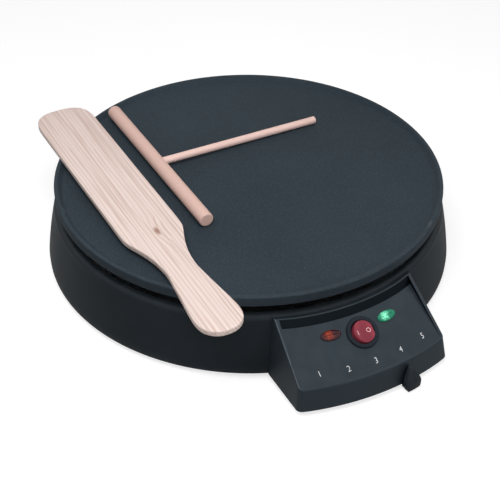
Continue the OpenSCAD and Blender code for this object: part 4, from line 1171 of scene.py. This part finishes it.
@dataclass
class Base:
    """The round moulded base with its leaning wall and rounded shoulder."""

    foot_z: float = 5.0
    height: float = 51.0
    radius: float = 175.0
    lean: float = 8.3
    bulge: float = 0.75
    shoulder_r: float = 5.0
    wall: float = 2.5
    lip_r: float = 159.5
    deck_r: float = 148.0
    deck_z: float = 46.0
    boss_r: float = 152.0
    pan_boss_r: float = 152.75
    pad_r: float = 9.5
    pad: Flat = (166.0, 174.8)
    outlet_z: float = 20.0
    hole_r: float = 6.05
    opening: tuple[Spot, Spot] = ((-45, -186, 3), (45, -150, 40))
    slot: tuple[Spot, Spot] = ((-64.5, -186, 3), (64.5, -125, 7.4))
    boss_w: float = 5.0
    boss_low: float = 7.0
    stud_w: float = 4.0
    stud_drop: Flat = (8.0, 0.3)

    @property
    def top(self) -> float:
        """The height of the base's top."""
        return self.foot_z + self.height

    def outline(self, out: float = 0.0) -> list[Flat]:
        """The outer outline from the bottom edge to the top, moved out by a distance."""
        shoulder_z = self.top - self.shoulder_r
        shoulder_x = self.radius - self.lean - self.shoulder_r
        points = []
        for i in range(13):
            t = i / 12
            r = self.radius - self.lean * t + 4 * self.bulge * t * (1 - t) + out
            points.append((r, self.foot_z + (shoulder_z - self.foot_z) * t))
        return points + arc((shoulder_x, shoulder_z), self.shoulder_r + out, 0, 90, 10)[1:]

    def inner(self) -> list[Flat]:
        """The inner side of the wall, from the shoulder down to the bottom edge."""
        points = [(r, z) for r, z in self.outline(-self.wall) if z < self.top - self.wall - 0.1]
        return points[::-1]

    def section(self) -> list[Flat]:
        """The closed section of the base's ring."""
        land = self.lip_r + self.wall
        lip = 0.6
        return [
            (self.radius - 0.6, self.foot_z),
            *[p for p in self.outline() if p[1] > self.foot_z + 0.5],
            (self.lip_r + lip, self.top),
            *arc((self.lip_r + lip, self.top - lip), lip, 100, 180, 3),
            (self.lip_r, self.deck_z),
            (self.deck_r, self.deck_z),
            (self.deck_r, self.deck_z - self.wall),
            (land, self.deck_z - self.wall),
            (land, self.top - self.wall),
            *self.inner(),
        ]

    def build(self) -> bpy.types.Object:
        """Models the base."""
        shell = Bench.lathe("base", self.section(), [(360, 240)], closed=True)
        inner, outer = self.pad
        at_back = shift(0, 0, self.outlet_z) @ turn(-90, "X")
        pad = Bench.rod("pad", self.pad_r, inner, outer, 48)
        hole = Bench.rod("hole", self.hole_r, inner - 4, outer + 4, 48)
        for tool, how in ((pad, Cut.JOINED), (hole, Cut.AWAY)):
            Bench.settle(tool, at_back)
            Bench.carve(shell, tool, how)
        for name, corners in (("opening", self.opening), ("slot", self.slot)):
            Bench.carve(shell, Bench.block(name, *corners))
        boss = Bench.rod("boss", self.boss_w, self.boss_low, self.deck_z - self.wall / 2, 32)
        bosses = Bench.copies(boss, [turn(45 + 90 * k) @ shift(0, -self.boss_r, 0) for k in range(4)])
        low, high = (self.deck_z - drop for drop in self.stud_drop)
        stud = Bench.rod("stud", self.stud_w, low, high, 24)
        studs = Bench.copies(stud, [turn(60 * k) @ shift(0, -self.pan_boss_r, 0) for k in range(6)])
        return Bench.smooth(Bench.join("base", [shell, bosses, studs]), 30)

    def dress(self, finishes: Finishes) -> None:
        """Builds the base and enters it."""
        offer(self.build(), "machine", ["base_shell"], finishes, "charcoal moulding")


@dataclass
class ControlHousing:
    """The wedge-shaped control housing with its sloping panel, step, and bores for the switch and lamps."""

    base: Base = field(default_factory=Base)
    front_r: float = 219.5
    front_lean: float = 4.0
    half: float = 67.4
    side_lean: float = 0.125
    step: Flat = (169.4, 55.0)
    corner_r: float = 3.2
    border: float = 3.0
    spins: tuple[Flat, ...] = ((7.6, 1), (31.6, 40), (7.6, 1))
    wall: float = 2.5
    fit_gap: float = 0.3
    corner: float = 215.496
    back_low: float = 172.0
    back_high: float = 163.0
    hollow_back: float = 150.0
    bore_rs: Flat = (13.1, 11.1)
    lamp_seat: Flat = (16.6, 8.2)
    lamp_neck: Flat = (13.2, 6.2)
    pocket: float = 0.6
    through: float = 12.0
    column_r: float = 184.0
    column_a: float = 17.5
    column: Spot = (5.0, 7.0, 32.0)

    def wedge(
        self, name: str, outline: Sequence[Flat], inset: float, spins: Sequence[Flat]
    ) -> bpy.types.Object:
        """Spins a closed outline over the front and slices its two leaning sides off.

        Args:
            name: the piece's name.
            outline: the outline, each point a radius and a height.
            inset: how far each side lies in from the housing's own.
            spins: the spins, whose angles add up to twice the half angle.

        Returns:
            The closed wedge.
        """
        half = sum(angle for angle, _ in spins) / 2
        piece = Bench.lathe(name, outline, spins, closed=True, first=-90.0 - half)
        for side in (-1, 1):
            at = (side * (self.half - inset), 0, self.base.foot_z)
            Bench.slice(piece, at, (side, 0, self.side_lean))
        Bench.close(piece)
        return piece

    def outline(self) -> list[Flat]:
        """The housing's section, from inside the base round the front and back over the step."""
        return [
            (self.back_low, self.base.foot_z),
            (self.front_r, self.base.foot_z),
            (self.corner, PANEL.height(self.corner)),
            (self.step[0] + 0.9, self.step[1]),
            (self.step[0], self.step[1] + 0.4),
            (self.back_high, self.step[1] - 1.6),
        ]

    def recess(self) -> list[Flat]:
        """The section of the panel's recess, which fades out towards the front edge."""
        foot, front = PANEL.head_r + 0.6, self.front_r - 1.0
        back, top = self.step[0], self.step[1] + 4.0
        return [
            (foot, PANEL.height(foot)),
            (front, PANEL.height(front)),
            (front, top),
            (back - 5.0, top),
            (back + 0.2, self.step[1] + 0.6),
            (back + 0.9, self.step[1] - 0.1),
        ]

    def cavity(self) -> list[Flat]:
        """The section of the hollow inside."""
        drop = self.wall / math.cos(math.radians(PANEL.slope))
        front = self.front_r - self.front_lean - self.wall
        back = PANEL.head_r - 2.0
        return [
            (self.hollow_back, -1.0),
            (self.front_r - self.wall + 0.2, -1.0),
            (front, PANEL.height(front) - drop),
            (back, PANEL.height(back) - drop),
            (self.hollow_back, PANEL.height(back) - drop),
        ]

    def weigh(self, piece: bpy.types.Object, edge: bpy.types.MeshEdge) -> float:
        """The share of the corner's rounding that an edge of the wedge gets."""
        foot_z = self.base.foot_z
        a, b = (piece.data.vertices[i].co / MM for i in edge.vertices)
        middle = (a + b) / 2
        radius = math.hypot(middle.x, middle.y)
        on_side = all(
            abs(self.half - self.side_lean * (p.z - foot_z) - abs(p.x)) < 0.02 for p in (a, b)
        )
        low, rise = min(a.z, b.z), abs(a.z - b.z)
        if radius < 166.0:
            return 0.0
        if on_side and rise > 10.0 and radius > 216.0:
            return 1.0
        if on_side and low > foot_z + 0.1:
            return 0.4
        if not on_side and low > 23.0 and rise < 0.05 and radius > 214.0:
            return 0.55
        return 0.0

    def tools(self) -> list[bpy.types.Object]:
        """Models the cutters for the switch and the lamps, each in its place on the panel."""
        bezel_r, case_r = self.bore_rs
        bores = [
            Bench.rod("bezel bore", bezel_r, -self.pocket, 9.0, 64),
            Bench.rod("case bore", case_r, -self.through, 9.0, 64),
        ]
        for bore in bores:
            Bench.settle(bore, PANEL.place(Switch.radius, 0.0))
        for side in (-1, 1):
            seats = [
                Bench.prism("lamp seat", oval(*self.lamp_seat), -self.pocket, 8.0),
                Bench.prism("lamp neck", stadium(*self.lamp_neck), -self.through, 2.0),
            ]
            for seat in seats:
                Bench.settle(seat, PANEL.place(Lamps.radius, side * Lamps.angle))
            bores += seats
        return bores

    def build(self) -> bpy.types.Object:
        """Models the housing."""
        body = self.wedge("housing", self.outline(), 0.0, self.spins)
        Bench.soften_weighted(body, self.corner_r, 6, self.weigh)
        Bench.carve(body, self.wedge("recess", self.recess(), self.border, self.spins))
        Bench.carve(body, self.wedge("hollow", self.cavity(), self.wall, [(56.0, 28)]))
        gap = self.fit_gap
        rim = [(0.0, 0.0), (self.base.radius + gap, 0.0), *self.base.outline(gap), (0.0, self.base.top + gap)]
        Bench.carve(body, Bench.lathe("base space", rim, [(360, 240)]))
        for tool in self.tools():
            Bench.carve(body, tool)
        column = Bench.rod("column", *self.column, 24)
        places = [turn(side * self.column_a) @ shift(0, -self.column_r, 0) for side in (-1, 1)]
        columns = Bench.copies(column, places)
        return Bench.smooth(Bench.join("housing", [body, columns]), 26, even=True)

    def dress(self, finishes: Finishes) -> None:
        """Builds the housing and enters it."""
        offer(self.build(), "machine", ["control_housing"], finishes, "charcoal housing")


@dataclass
class Switch:
    """The round rocker switch: its case with the bezel, its rocker and the marks on the rocker."""

    radius: float = 187.0
    bezel_r: float = 13.0
    bezel_h: float = 2.0
    case_r: float = 11.0
    depth: float = 17.0
    pocket: float = 0.6
    cavity_r: float = 9.6
    rocker_r: float = 9.0
    pivot: float = -2.0
    tilt: float = 10.0
    dish: float = 3.8
    rise: float = 0.131
    button: Flat = (-2.4, 9.0)
    cutter: Spot = (19.0, 20.0, 14.0)
    pin_r: float = 1.2
    pin_end: float = 10.1
    bar: Flat = (0.3, 1.9)
    bar_x: float = 6.0
    ring: Flat = (1.3, 1.85)
    ring_x: float = 4.1
    ink: float = 0.02

    def case(self) -> bpy.types.Object:
        """Models the case: a turned bezel with a rounded edge over a plain barrel."""
        h = self.bezel_h
        section = [
            (0.0, -self.depth),
            (self.case_r - 0.5, -self.depth),
            (self.case_r, -self.depth + 0.5),
            (self.case_r, -self.pocket),
            (self.bezel_r, -self.pocket),
            (self.bezel_r, 0.5),
            *arc((self.bezel_r - 1.5, 0.5), 1.5, 0, 90, 6)[1:],
            (self.cavity_r + 0.9, h),
            *arc((self.cavity_r + 0.9, h - 0.9), 0.9, 90, 180, 4)[1:],
            (self.cavity_r, self.pivot - 8.0),
            (0.0, self.pivot - 8.0),
        ]
        piece = Bench.lathe("switch case", section, [(360, 96)])
        Bench.settle(piece, PANEL.place(self.radius, 0.0))
        return Bench.smooth(piece, 35)

    @property
    def rocker_place(self) -> Matrix:
        """The move that sets the rocker's own frame, with its pivot along Y, in the switch at rest."""
        return PANEL.place(self.radius, 0.0) @ shift(0, 0, self.pivot) @ turn(self.tilt, "Y")

    def rocker(self) -> bpy.types.Object:
        """Models the rocker: a round button with a shallow V across its top and rounded shoulders."""
        button = Bench.rod("rocker", self.rocker_r, *self.button, 96)
        wide, deep, top = self.cutter
        high = self.dish + self.rise * wide
        for side in (-1, 1):
            corners = [(0, self.dish), (side * wide, high), (side * wide, top), (0, top)]
            wedge = Bench.sheet("valley", [(x, -deep, z) for x, z in corners], (0, 2 * deep, 0))
            Bench.carve(button, wedge)
        drum = Bench.rod("drum", self.rocker_r + 0.45, -12.0, 12.0, 128)
        Bench.settle(drum, turn(90, "X"))
        Bench.carve(button, drum, Cut.COMMON)
        Bench.close(button)
        Bench.soften(button, 0.45, 3, 24.0)
        pins = Bench.rod("pins", self.pin_r, -self.pin_end, self.pin_end, 24)
        Bench.settle(pins, turn(90, "X"))
        piece = Bench.join("rocker", [button, pins])
        Bench.settle(piece, self.rocker_place)
        return Bench.smooth(piece, 28)

    def mark(self, name: str, x: float, piece: bpy.types.Object) -> bpy.types.Object:
        """Lays a mark drawn in the XY plane on one slope of the rocker.

        Args:
            name: the mark's name.
            x: where its middle lies across the rocker, negative on the slope towards -X.
            piece: the mark, with its middle at the origin.

        Returns:
            The mark in its place.
        """
        lean = math.copysign(math.degrees(math.atan(self.rise)), x)
        height = self.dish + self.rise * abs(x) + 0.03
        Bench.settle(piece, self.rocker_place @ shift(x, 0, height) @ turn(-lean, "Y"))
        return Bench.smooth(Bench.join(name, [piece]), 40)

    def marks(self) -> list[bpy.types.Object]:
        """Models the bar and the ring printed on the rocker."""
        (x, y), (inner, outer), ink = self.bar, self.ring, self.ink
        bar = Bench.prism("bar", [(-x, -y), (x, -y), (x, y), (-x, y)], 0, ink)
        section = [(inner, 0.0), (outer, 0.0), (outer, ink), (inner, ink)]
        ring = Bench.lathe("ring", section, [(360, 32)], closed=True)
        return [self.mark("mark on", -self.bar_x, bar), self.mark("mark off", self.ring_x, ring)]

    def dress(self, finishes: Finishes) -> None:
        """Builds the switch and enters its pieces."""
        offer(self.case(), "machine", ["switch_case"], finishes, "switch black")
        offer(self.rocker(), "rocker", ["switch_rocker"], finishes, "rocker crimson")
        for mark in self.marks():
            offer(mark, "rocker", [], finishes, "rose ink")


@dataclass
class Lamps:
    """The two oval indicator lamps, each a faceted lens with a neck through the panel."""

    radius: float = 182.9
    angle: float = 7.8
    length: float = 16.4
    width: float = 8.0
    height: float = 2.0
    pocket: float = 0.6
    neck: float = 11.0
    neck_in: Flat = (3.4, 2.0)
    bore_in: Flat = (5.4, 4.0)
    facets: tuple[Flat, ...] = ((0.45, 0.45), (0.9, 0.4), (1.3, -0.45))

    def lens(self, name: str, side: int) -> bpy.types.Object:
        """Models a lens with a stepped, faceted top.

        Args:
            name: the lens's name.
            side: -1 for the lamp towards -X and 1 for the other.

        Returns:
            The lens on the panel.
        """
        lens = Bench.prism(name, oval(self.length, self.width, 32), -self.pocket, self.height - 0.9)
        Bench.edit(lens)
        Bench.pick(lens, Pick.FACE, lambda f: f.normal.z > 0.9)
        for inset, rise in self.facets:
            bpy.ops.mesh.inset(thickness=inset * MM)
            bpy.ops.transform.translate(value=mm((0, 0, rise)))
        bpy.ops.object.mode_set(mode="OBJECT")
        neck, bore = (
            Bench.prism("neck", stadium(self.length - x, self.width - y, 12), -self.neck - past, -0.2 - drop)
            for (x, y), past, drop in ((self.neck_in, 0.0, 0.0), (self.bore_in, 1.0, 0.6))
        )
        Bench.carve(neck, bore)
        piece = Bench.join(name, [lens, neck])
        Bench.settle(piece, PANEL.place(self.radius, side * self.angle))
        return Bench.smooth(piece, 24)

    def dress(self, finishes: Finishes) -> None:
        """Builds the lamps and enters them."""
        for side, colour in ((-1, "red"), (1, "green")):
            lens = self.lens(f"{colour} lamp", side)
            offer(lens, "machine", [f"{colour}_lamp_lens"], finishes, f"{colour} jewel")


@dataclass
class Scale:
    """The numbers 1 to 5 printed along the panel's foot."""

    radius: float = 207.7
    first: float = -12.78
    spacing: float = 6.45
    bow: float = 0.3
    height: float = 5.0
    squeeze: float = 0.86
    thin: float = 0.09
    ink: float = 0.05

    def digit(self, number: int) -> bpy.types.Object:
        """Models one number, lying on the panel with its head up the slope."""
        Bench.clear()
        bpy.ops.object.text_add(location=(0, 0, 0))
        text = bpy.context.object
        text.data.body = str(number)
        text.data.align_x = "CENTER"
        text.data.align_y = "CENTER"
        text.data.size = self.height * 1.37 * MM
        text.data.offset = -self.thin * MM
        text.data.resolution_u = 6
        bpy.ops.object.convert(target="MESH")
        piece = Bench.named(f"number {number}")
        piece.scale = (self.squeeze, 1.0, 1.0)
        angle = math.radians(self.first + self.spacing * (number - 1))
        slope = math.radians(PANEL.slope)
        radius = self.radius - self.bow * (number - 3) ** 2
        x, y = radius * math.sin(angle), -radius * math.cos(angle)
        bpy.ops.object.transform_apply(location=True, rotation=True, scale=True)
        Bench.edit(piece, Pick.FACE, everything=True)
        bpy.ops.mesh.subdivide(number_cuts=1)
        bpy.ops.object.mode_set(mode="OBJECT")
        for vertex in piece.data.vertices:
            px, py = x + vertex.co.x / MM, y + vertex.co.y / MM * math.cos(slope)
            vertex.co = mm((px, py, PANEL.height(math.hypot(px, py)) + self.ink))
        return piece

    def dress(self, finishes: Finishes) -> None:
        """Builds the numbers and enters them."""
        for number in range(1, 6):
            offer(self.digit(number), "machine", [], finishes, "white ink")


@dataclass
class Lever:
    """The temperature lever's knob: a small shield with a bowed front."""

    pivot_y: float = 62.0
    rest: float = 9.1
    reach: float = 160.81
    proud: float = 4.8
    lean: float = 0.202
    foot_z: float = 1.6
    tip_z: float = 21.0
    deep: float = 9.6
    foot: Spot = (5.5, 4.0, 4.5)
    shield: tuple[Flat, ...] = (
        (5.9, 1.6), (6.7, 3.0), (7.3, 5.6), (7.4, 8.0), (6.5, 11.0), (4.9, 14.2), (3.0, 17.4), (1.2, 20.2)
    )

    def knob(self) -> bpy.types.Object:
        """Models the knob and the foot that reaches back from it under the housing."""
        x, behind, top = self.foot
        outline = [(0.0, self.tip_z), *[(-w, z) for w, z in reversed(self.shield)], *self.shield]
        piece = Bench.sheet("knob", [(w, -self.reach + behind, z) for w, z in outline], (0, -self.deep, 0))
        Bench.slice(piece, (0, -self.reach, self.foot_z), (0, 1, -self.lean))
        front = -self.reach - self.proud
        for side in (-1, 1):
            Bench.slice(piece, (0, front, self.foot_z), (side * 0.05, -1, 0.1))
            Bench.slice(piece, (0, front + 1.1, 9.0), (side * 0.05, -1, 0.36))
        Bench.close(piece)
        Bench.soften(piece, 0.55, 3, 16.0)
        near, far = -self.reach - 1.0, -self.reach + behind
        foot = Bench.block("foot", (-x, near, self.foot_z + 0.05), (x, far, top))
        Bench.soften(foot, 0.4)
        piece = Bench.join("knob", [piece, foot])
        Bench.settle(piece, shift(0, -self.pivot_y, 0) @ turn(self.rest))
        return Bench.smooth(piece, 22)

    def dress(self, finishes: Finishes) -> None:
        """Builds the knob and enters it."""
        offer(self.knob(), "lever", ["lever_knob"], finishes, "charcoal moulding")


@dataclass
class Feet:
    """The round rubber feet under the base and the housing."""

    circle: float = 125.0
    radius: float = 8.0
    corner: Flat = (58.4, -198.0)
    corner_radius: float = 5.75
    height: float = 5.0
    stem: float = 2.5
    tops: Flat = (8.6, 12.9)

    def foot(self, name: str, radius: float, top: float) -> bpy.types.Object:
        """Models one foot with a rounded tread and a shallow ring in its sole.

        Args:
            name: the foot's name.
            radius: its radius.
            top: the height of the top of the stem that holds it.

        Returns:
            The foot on the Z axis.
        """
        section = [
            (0.0, 0.4),
            (radius * 0.5, 0.4),
            (radius * 0.56, 0.0),
            (radius - 1.0, 0.0),
            *arc((radius - 1.0, 1.0), 1.0, -90, 0, 4)[1:],
            (radius - 0.4, self.height),
            (self.stem, self.height),
            (self.stem, top),
            (0.0, top),
        ]
        return Bench.lathe(name, section, [(360, 40)])

    def dress(self, finishes: Finishes) -> None:
        """Builds the feet and enters them."""
        x, y = self.corner
        on_circle = [turn(45 + 90 * k) @ shift(0, -self.circle, 0) for k in range(4)]
        at_corners = [shift(side * x, y, 0) for side in (-1, 1)]
        kinds = (
            ("base feet", "rubber_feet", self.radius, self.tops[0], on_circle),
            ("housing feet", "box_feet", self.corner_radius, self.tops[1], at_corners),
        )
        for name, node, radius, top, places in kinds:
            feet = Bench.smooth(Bench.copies(self.foot(name, radius, top), places), 35)
            offer(feet, "machine", [node], finishes, "foot rubber")


@dataclass
class Outlet:
    """The bush in the back of the base, where the mains cord leaves."""

    height: float = 20.0
    bore: float = 3.6
    neck: float = 6.0
    inner_face: float = 164.0
    outer_face: float = 176.8
    rim: float = 9.5

    def bush(self) -> bpy.types.Object:
        """Models the bush with a flared, rounded mouth."""
        out = self.outer_face
        section = [
            (self.bore, self.inner_face),
            (self.neck + 1.0, self.inner_face),
            (self.neck + 1.0, self.inner_face + 2.0),
            (self.neck, self.inner_face + 2.0),
            (self.neck, out - 2.0),
            (self.rim, out - 2.0),
            *arc((self.rim - 1.2, out - 1.2), 1.2, 0, 90, 5)[1:],
            (self.bore + 1.3, out),
            *arc((self.bore + 1.3, out - 1.3), 1.3, 90, 180, 5)[1:],
        ]
        piece = Bench.lathe("outlet bush", section, [(360, 64)], closed=True)
        Bench.settle(piece, shift(0, 0, self.height) @ turn(-90, "X"))
        return Bench.smooth(piece, 35)

    def dress(self, finishes: Finishes) -> None:
        """Builds the bush and enters it."""
        offer(self.bush(), "machine", ["outlet_bush"], finishes, "switch black")


@dataclass
class Spatula:
    """The flat wooden spatula laid across the plate's rim."""

    tip: Flat = (-111.9, 160.4)
    turned: float = 0.7
    low: float = 74.05
    thick: float = 5.0
    blade_w: float = 51.0
    blade_len: float = 243.0
    neck_w: float = 25.0
    grip_w: float = 37.0
    length: float = 336.0

    def edge(self) -> list[Flat]:
        """One half of the outline, from the blade's end to the grip's end."""
        b, n, g = self.blade_w / 2, self.neck_w / 2, self.grip_w / 2
        blade, grip = self.blade_len, self.length - self.blade_len
        return [
            (b * 0.32, -0.4),
            (b * 0.62, -3),
            (b * 0.86, -8),
            (b, -18),
            (b, -blade + 40),
            (b * 0.96, -blade + 33),
            (n * 1.56, -blade + 21),
            (n * 1.2, -blade + 7),
            (n * 1.05, -blade - 5),
            (n, -blade - 0.17 * grip),
            (n * 1.1, -blade - 0.3 * grip),
            (g * 0.84, -blade - 0.48 * grip),
            (g * 0.95, -blade - 0.66 * grip),
            (g, -blade - 0.76 * grip),
            (g * 0.985, -blade - 0.84 * grip),
            (g * 0.9, -blade - 0.9 * grip),
            (g * 0.72, -blade - 0.95 * grip),
            (g * 0.44, -blade - 0.987 * grip),
            (g * 0.16, -blade - grip),
        ]

    def outline(self) -> list[Flat]:
        """The whole outline, with its corners cut round twice."""
        half = self.edge()
        points = half + [(-x, y) for x, y in reversed(half)]
        for _ in range(2):
            cut: list[Flat] = []
            for (x0, y0), (x1, y1) in zip(points, points[1:] + points[:1]):
                share = min(0.25, 4.0 / max(math.hypot(x1 - x0, y1 - y0), 1e-6))
                cut.append((x0 + (x1 - x0) * share, y0 + (y1 - y0) * share))
                cut.append((x1 - (x1 - x0) * share, y1 - (y1 - y0) * share))
            points = cut
        return points

    def build(self) -> bpy.types.Object:
        """Models the spatula."""
        piece = Bench.prism("spatula", self.outline(), 0, self.thick)
        Bench.soften(piece, 0.9, 3, 60.0)
        Bench.settle(piece, shift(self.tip[0], self.tip[1], self.low) @ turn(self.turned))
        return Bench.smooth(piece, 40)

    def dress(self, finishes: Finishes) -> None:
        """Builds the spatula and enters it."""
        offer(self.build(), "spatula", ["spatula"], finishes, "pine board")


@dataclass
class Spreader:
    """The T-shaped wooden spreader: a round bar with a thinner handle let into its middle."""

    middle: Flat = (-64.9, 44.8)
    turned: float = 0.8
    height: float = 76.65
    bar_len: float = 187.0
    bar_r: float = 6.08
    handle_len: float = 157.0
    handle_r: float = 3.25
    dip: float = 1.04
    tenon: float = 7.0

    @property
    def place(self) -> Matrix:
        """The move that sets the spreader on the plate."""
        return shift(self.middle[0], self.middle[1], self.height) @ turn(self.turned)

    def dowel(self, name: str, radius: float, low: float, high: float, cut: float) -> bpy.types.Object:
        """Models a dowel along Z with softened ends.

        Args:
            name: the dowel's name.
            radius: its radius.
            low: where it starts.
            high: where it ends.
            cut: the width of the rounding at its ends.

        Returns:
            The dowel.
        """
        section = [
            (0.0, low),
            (radius * 0.5, low),
            *arc((radius - cut, low + cut), cut, -90, 0, 4),
            *[(radius, low + (high - low) * k / 8) for k in range(1, 8)],
            *arc((radius - cut, high - cut), cut, 0, 90, 4),
            (radius * 0.5, high),
            (0.0, high),
        ]
        return Bench.lathe(name, section, [(360, 48)])

    def bar(self) -> bpy.types.Object:
        """Models the bar with the hole for the handle."""
        half = self.bar_len / 2
        piece = self.dowel("spreader bar", self.bar_r, -half, half, 1.3)
        Bench.settle(piece, turn(90, "X"))
        hole = Bench.rod("hole", self.handle_r + 0.05, self.bar_r - self.tenon, 14.0, 48)
        Bench.settle(hole, turn(self.dip, "Y") @ turn(90, "Y"))
        Bench.carve(piece, hole)
        Bench.settle(piece, self.place)
        return Bench.smooth(piece, 30)

    def handle(self) -> bpy.types.Object:
        """Models the handle."""
        low = self.bar_r - self.tenon + 0.05
        piece = self.dowel("spreader handle", self.handle_r, low, self.handle_len, 0.8)
        Bench.settle(piece, self.place @ turn(self.dip, "Y") @ turn(90, "Y"))
        return Bench.smooth(piece, 30)

    def dress(self, finishes: Finishes) -> None:
        """Builds the spreader and enters its pieces."""
        offer(self.bar(), "spreader", ["spreader_bar"], finishes, "beech bar")
        offer(self.handle(), "spreader", ["spreader_handle"], finishes, "beech handle")


@dataclass(frozen=True)
class InnerWorks:
    """The CAD nodes that keep their own shape, and the finish that each wears."""

    finish_of: tuple[tuple[str, str], ...] = (
        ("heat-dulled steel", "heating_element element_straps fuse_clip"),
        ("zinc steel", "element_pins strap_screws plate_bolts reflector_screws housing_screws"),
        ("zinc steel", "cover_screws thermostat_screws lever_arm lever_screw fuse_screw"),
        ("turned steel", "plate_posts thermostat_frame thermostat_spindle"),
        ("aluminised sheet", "heat_reflector"),
        ("charcoal moulding", "bottom_cover"),
        ("brass", "switch_terminals thermostat_posts contact_blades terminal_screws earth_screw"),
        ("rolled bimetal", "bimetal_strip"),
        ("lamp glass", "neon_lamps"),
        ("ceramic", "lamp_holders ceramic_stack thermal_fuse terminal_block"),
        ("brown sleeve", "live_wires"),
        ("blue sleeve", "neutral_wires"),
        ("green sleeve", "earth_wire"),
    )

    def dress(self, finishes: Finishes) -> None:
        """Gives each of these nodes its finish."""
        for finish, nodes in self.finish_of:
            for node in nodes.split():
                finishes.dress_node(node, finish)
                LOG.info("%s keeps its shape, in %s", node, finish)


# ---- Studio ----------------------------------------------------------------------------------------------


@dataclass(frozen=True)
class SoftBox:
    """One soft lamp of the studio."""

    name: str
    at: Spot
    aim: Spot
    size: Flat
    watts: float

    def hang(self) -> None:
        """Hangs the lamp and aims it."""
        data = bpy.data.lights.new(self.name, "AREA")
        data.shape = "RECTANGLE"
        data.size, data.size_y = self.size
        data.energy = self.watts
        lamp = bpy.data.objects.new(self.name, data)
        lamp.visible_glossy = False
        bpy.context.scene.collection.objects.link(lamp)
        look = Vector(self.aim) - Vector(self.at)
        lamp.matrix_world = Matrix.Translation(self.at) @ look.to_track_quat("-Z", "Y").to_matrix().to_4x4()


@dataclass
class Studio:
    """The white studio: a pale floor, soft lamps, the surrounding light and the camera."""

    focal: float = 86.4
    eye: Spot = (-396.5, -745.5, 656.5)
    right: Spot = (0.8849, -0.4657, 0.0081)
    up: Spot = (0.2832, 0.5517, 0.7845)
    surround: float = 0.13
    floor_w: float = 6.0
    floor_tones: Flat = (0.46, 0.44)
    floor_glow: float = 0.72
    boxes: list[SoftBox] = field(
        default_factory=lambda: [
            SoftBox("over", (-0.27, -0.22, 0.82), (-0.1, -0.12, 0.05), (0.75, 0.75), 6.9),
            SoftBox("back", (0.75, 1.0, 1.3), (0, 0, 0.05), (1.0, 0.8), 1.0),
            SoftBox("right", (1.0, -1.3, 1.1), (0, -0.15, 0.04), (0.6, 0.6), 2.0),
            SoftBox("front", (0.35, -1.3, 0.45), (0, -0.15, 0.04), (0.5, 0.5), 4.0),
        ]
    )

    def floor(self) -> bpy.types.Object:
        """Models the wide flat floor and dresses it: a matt sheet that the camera sees a little brighter."""
        Bench.clear()
        bpy.ops.mesh.primitive_plane_add(size=self.floor_w, location=(0, 0, 0))
        floor = Bench.named("floor")
        Bench.edit(floor, Pick.FACE, everything=True)
        bpy.ops.mesh.inset(thickness=0.2)
        bpy.ops.object.mode_set(mode="OBJECT")
        data = bpy.data.materials.new("pale floor")
        data.use_nodes = True
        data.node_tree.nodes.clear()
        wires = Wiring(data.node_tree)
        pale, dull = ((tone,) * 3 for tone in self.floor_tones)
        tone = wires.blend(wires.times(wires.noise(wires.place(), 40.0), 0.2), pale, dull)
        matt = wires.feed(wires.node("BsdfDiffuse"), Color=tone)
        glow = wires.times(wires.node("LightPath").outputs["Is Camera Ray"], self.floor_glow)
        shine = wires.feed(wires.node("Emission"), Strength=glow)
        both = wires.node("AddShader")
        for socket, part in zip(both.inputs, (matt, shine)):
            wires.put(socket, part.outputs[0])
        wires.feed(wires.node("OutputMaterial"), Surface=both.outputs[0])
        floor.data.materials.append(data)
        return floor

    def world(self) -> None:
        """Sets the surrounding light: white to the eye and in reflections, dimmer as a lamp."""
        world = bpy.data.worlds.new("studio")
        world.use_nodes = True
        bpy.context.scene.world = world
        wires = Wiring(world.node_tree)
        shell = next(n for n in world.node_tree.nodes if n.type == "BACKGROUND")
        path = wires.node("LightPath").outputs
        seen = wires.math("ADD", path["Is Camera Ray"], path["Is Glossy Ray"])
        seen = wires.math("MINIMUM", wires.math("ADD", seen, path["Is Transmission Ray"]), 1.0)
        strength = wires.spread(seen, (0.0, 1.0), (self.surround, 1.0))
        wires.feed(shell, Color=(1.0, 1.0, 1.0, 1.0), Strength=strength)

    def camera(self) -> None:
        """Sets the camera where the photograph was taken from."""
        data = bpy.data.cameras.new("camera")
        data.lens = self.focal
        data.sensor_width = 36.0
        data.clip_start = 0.01
        data.clip_end = 50.0
        camera = bpy.data.objects.new("camera", data)
        bpy.context.scene.collection.objects.link(camera)
        right = Vector(self.right).normalized()
        up = Vector(self.up)
        up = (up - right * up.dot(right)).normalized()
        back = right.cross(up)
        turned = Matrix((right, up, back)).transposed().to_4x4()
        camera.matrix_world = Matrix.Translation(mm(self.eye)) @ turned
        bpy.context.scene.camera = camera

    def build(self) -> None:
        """Sets up the whole studio."""
        self.floor()
        self.world()
        self.camera()
        for box in self.boxes:
            box.hang()
        bpy.context.scene.view_settings.view_transform = "Standard"
        LOG.info("studio: %d soft lamps, camera at %s mm", len(self.boxes), self.eye)


def main() -> None:
    """Builds every sub-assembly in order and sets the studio."""
    logging.basicConfig(level=logging.INFO, format="%(name)s: %(message)s")
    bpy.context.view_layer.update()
    finishes = Finishes()
    assemblies = [
        CookingPlate(), Base(), ControlHousing(), Switch(), Lamps(), Scale(),
        Lever(), Feet(), Outlet(), Spatula(), Spreader(), InnerWorks(),
    ]
    for assembly in assemblies:
        assembly.dress(finishes)
    Studio().build()
    Bench.clear()


if __name__ == "__main__":
    main()
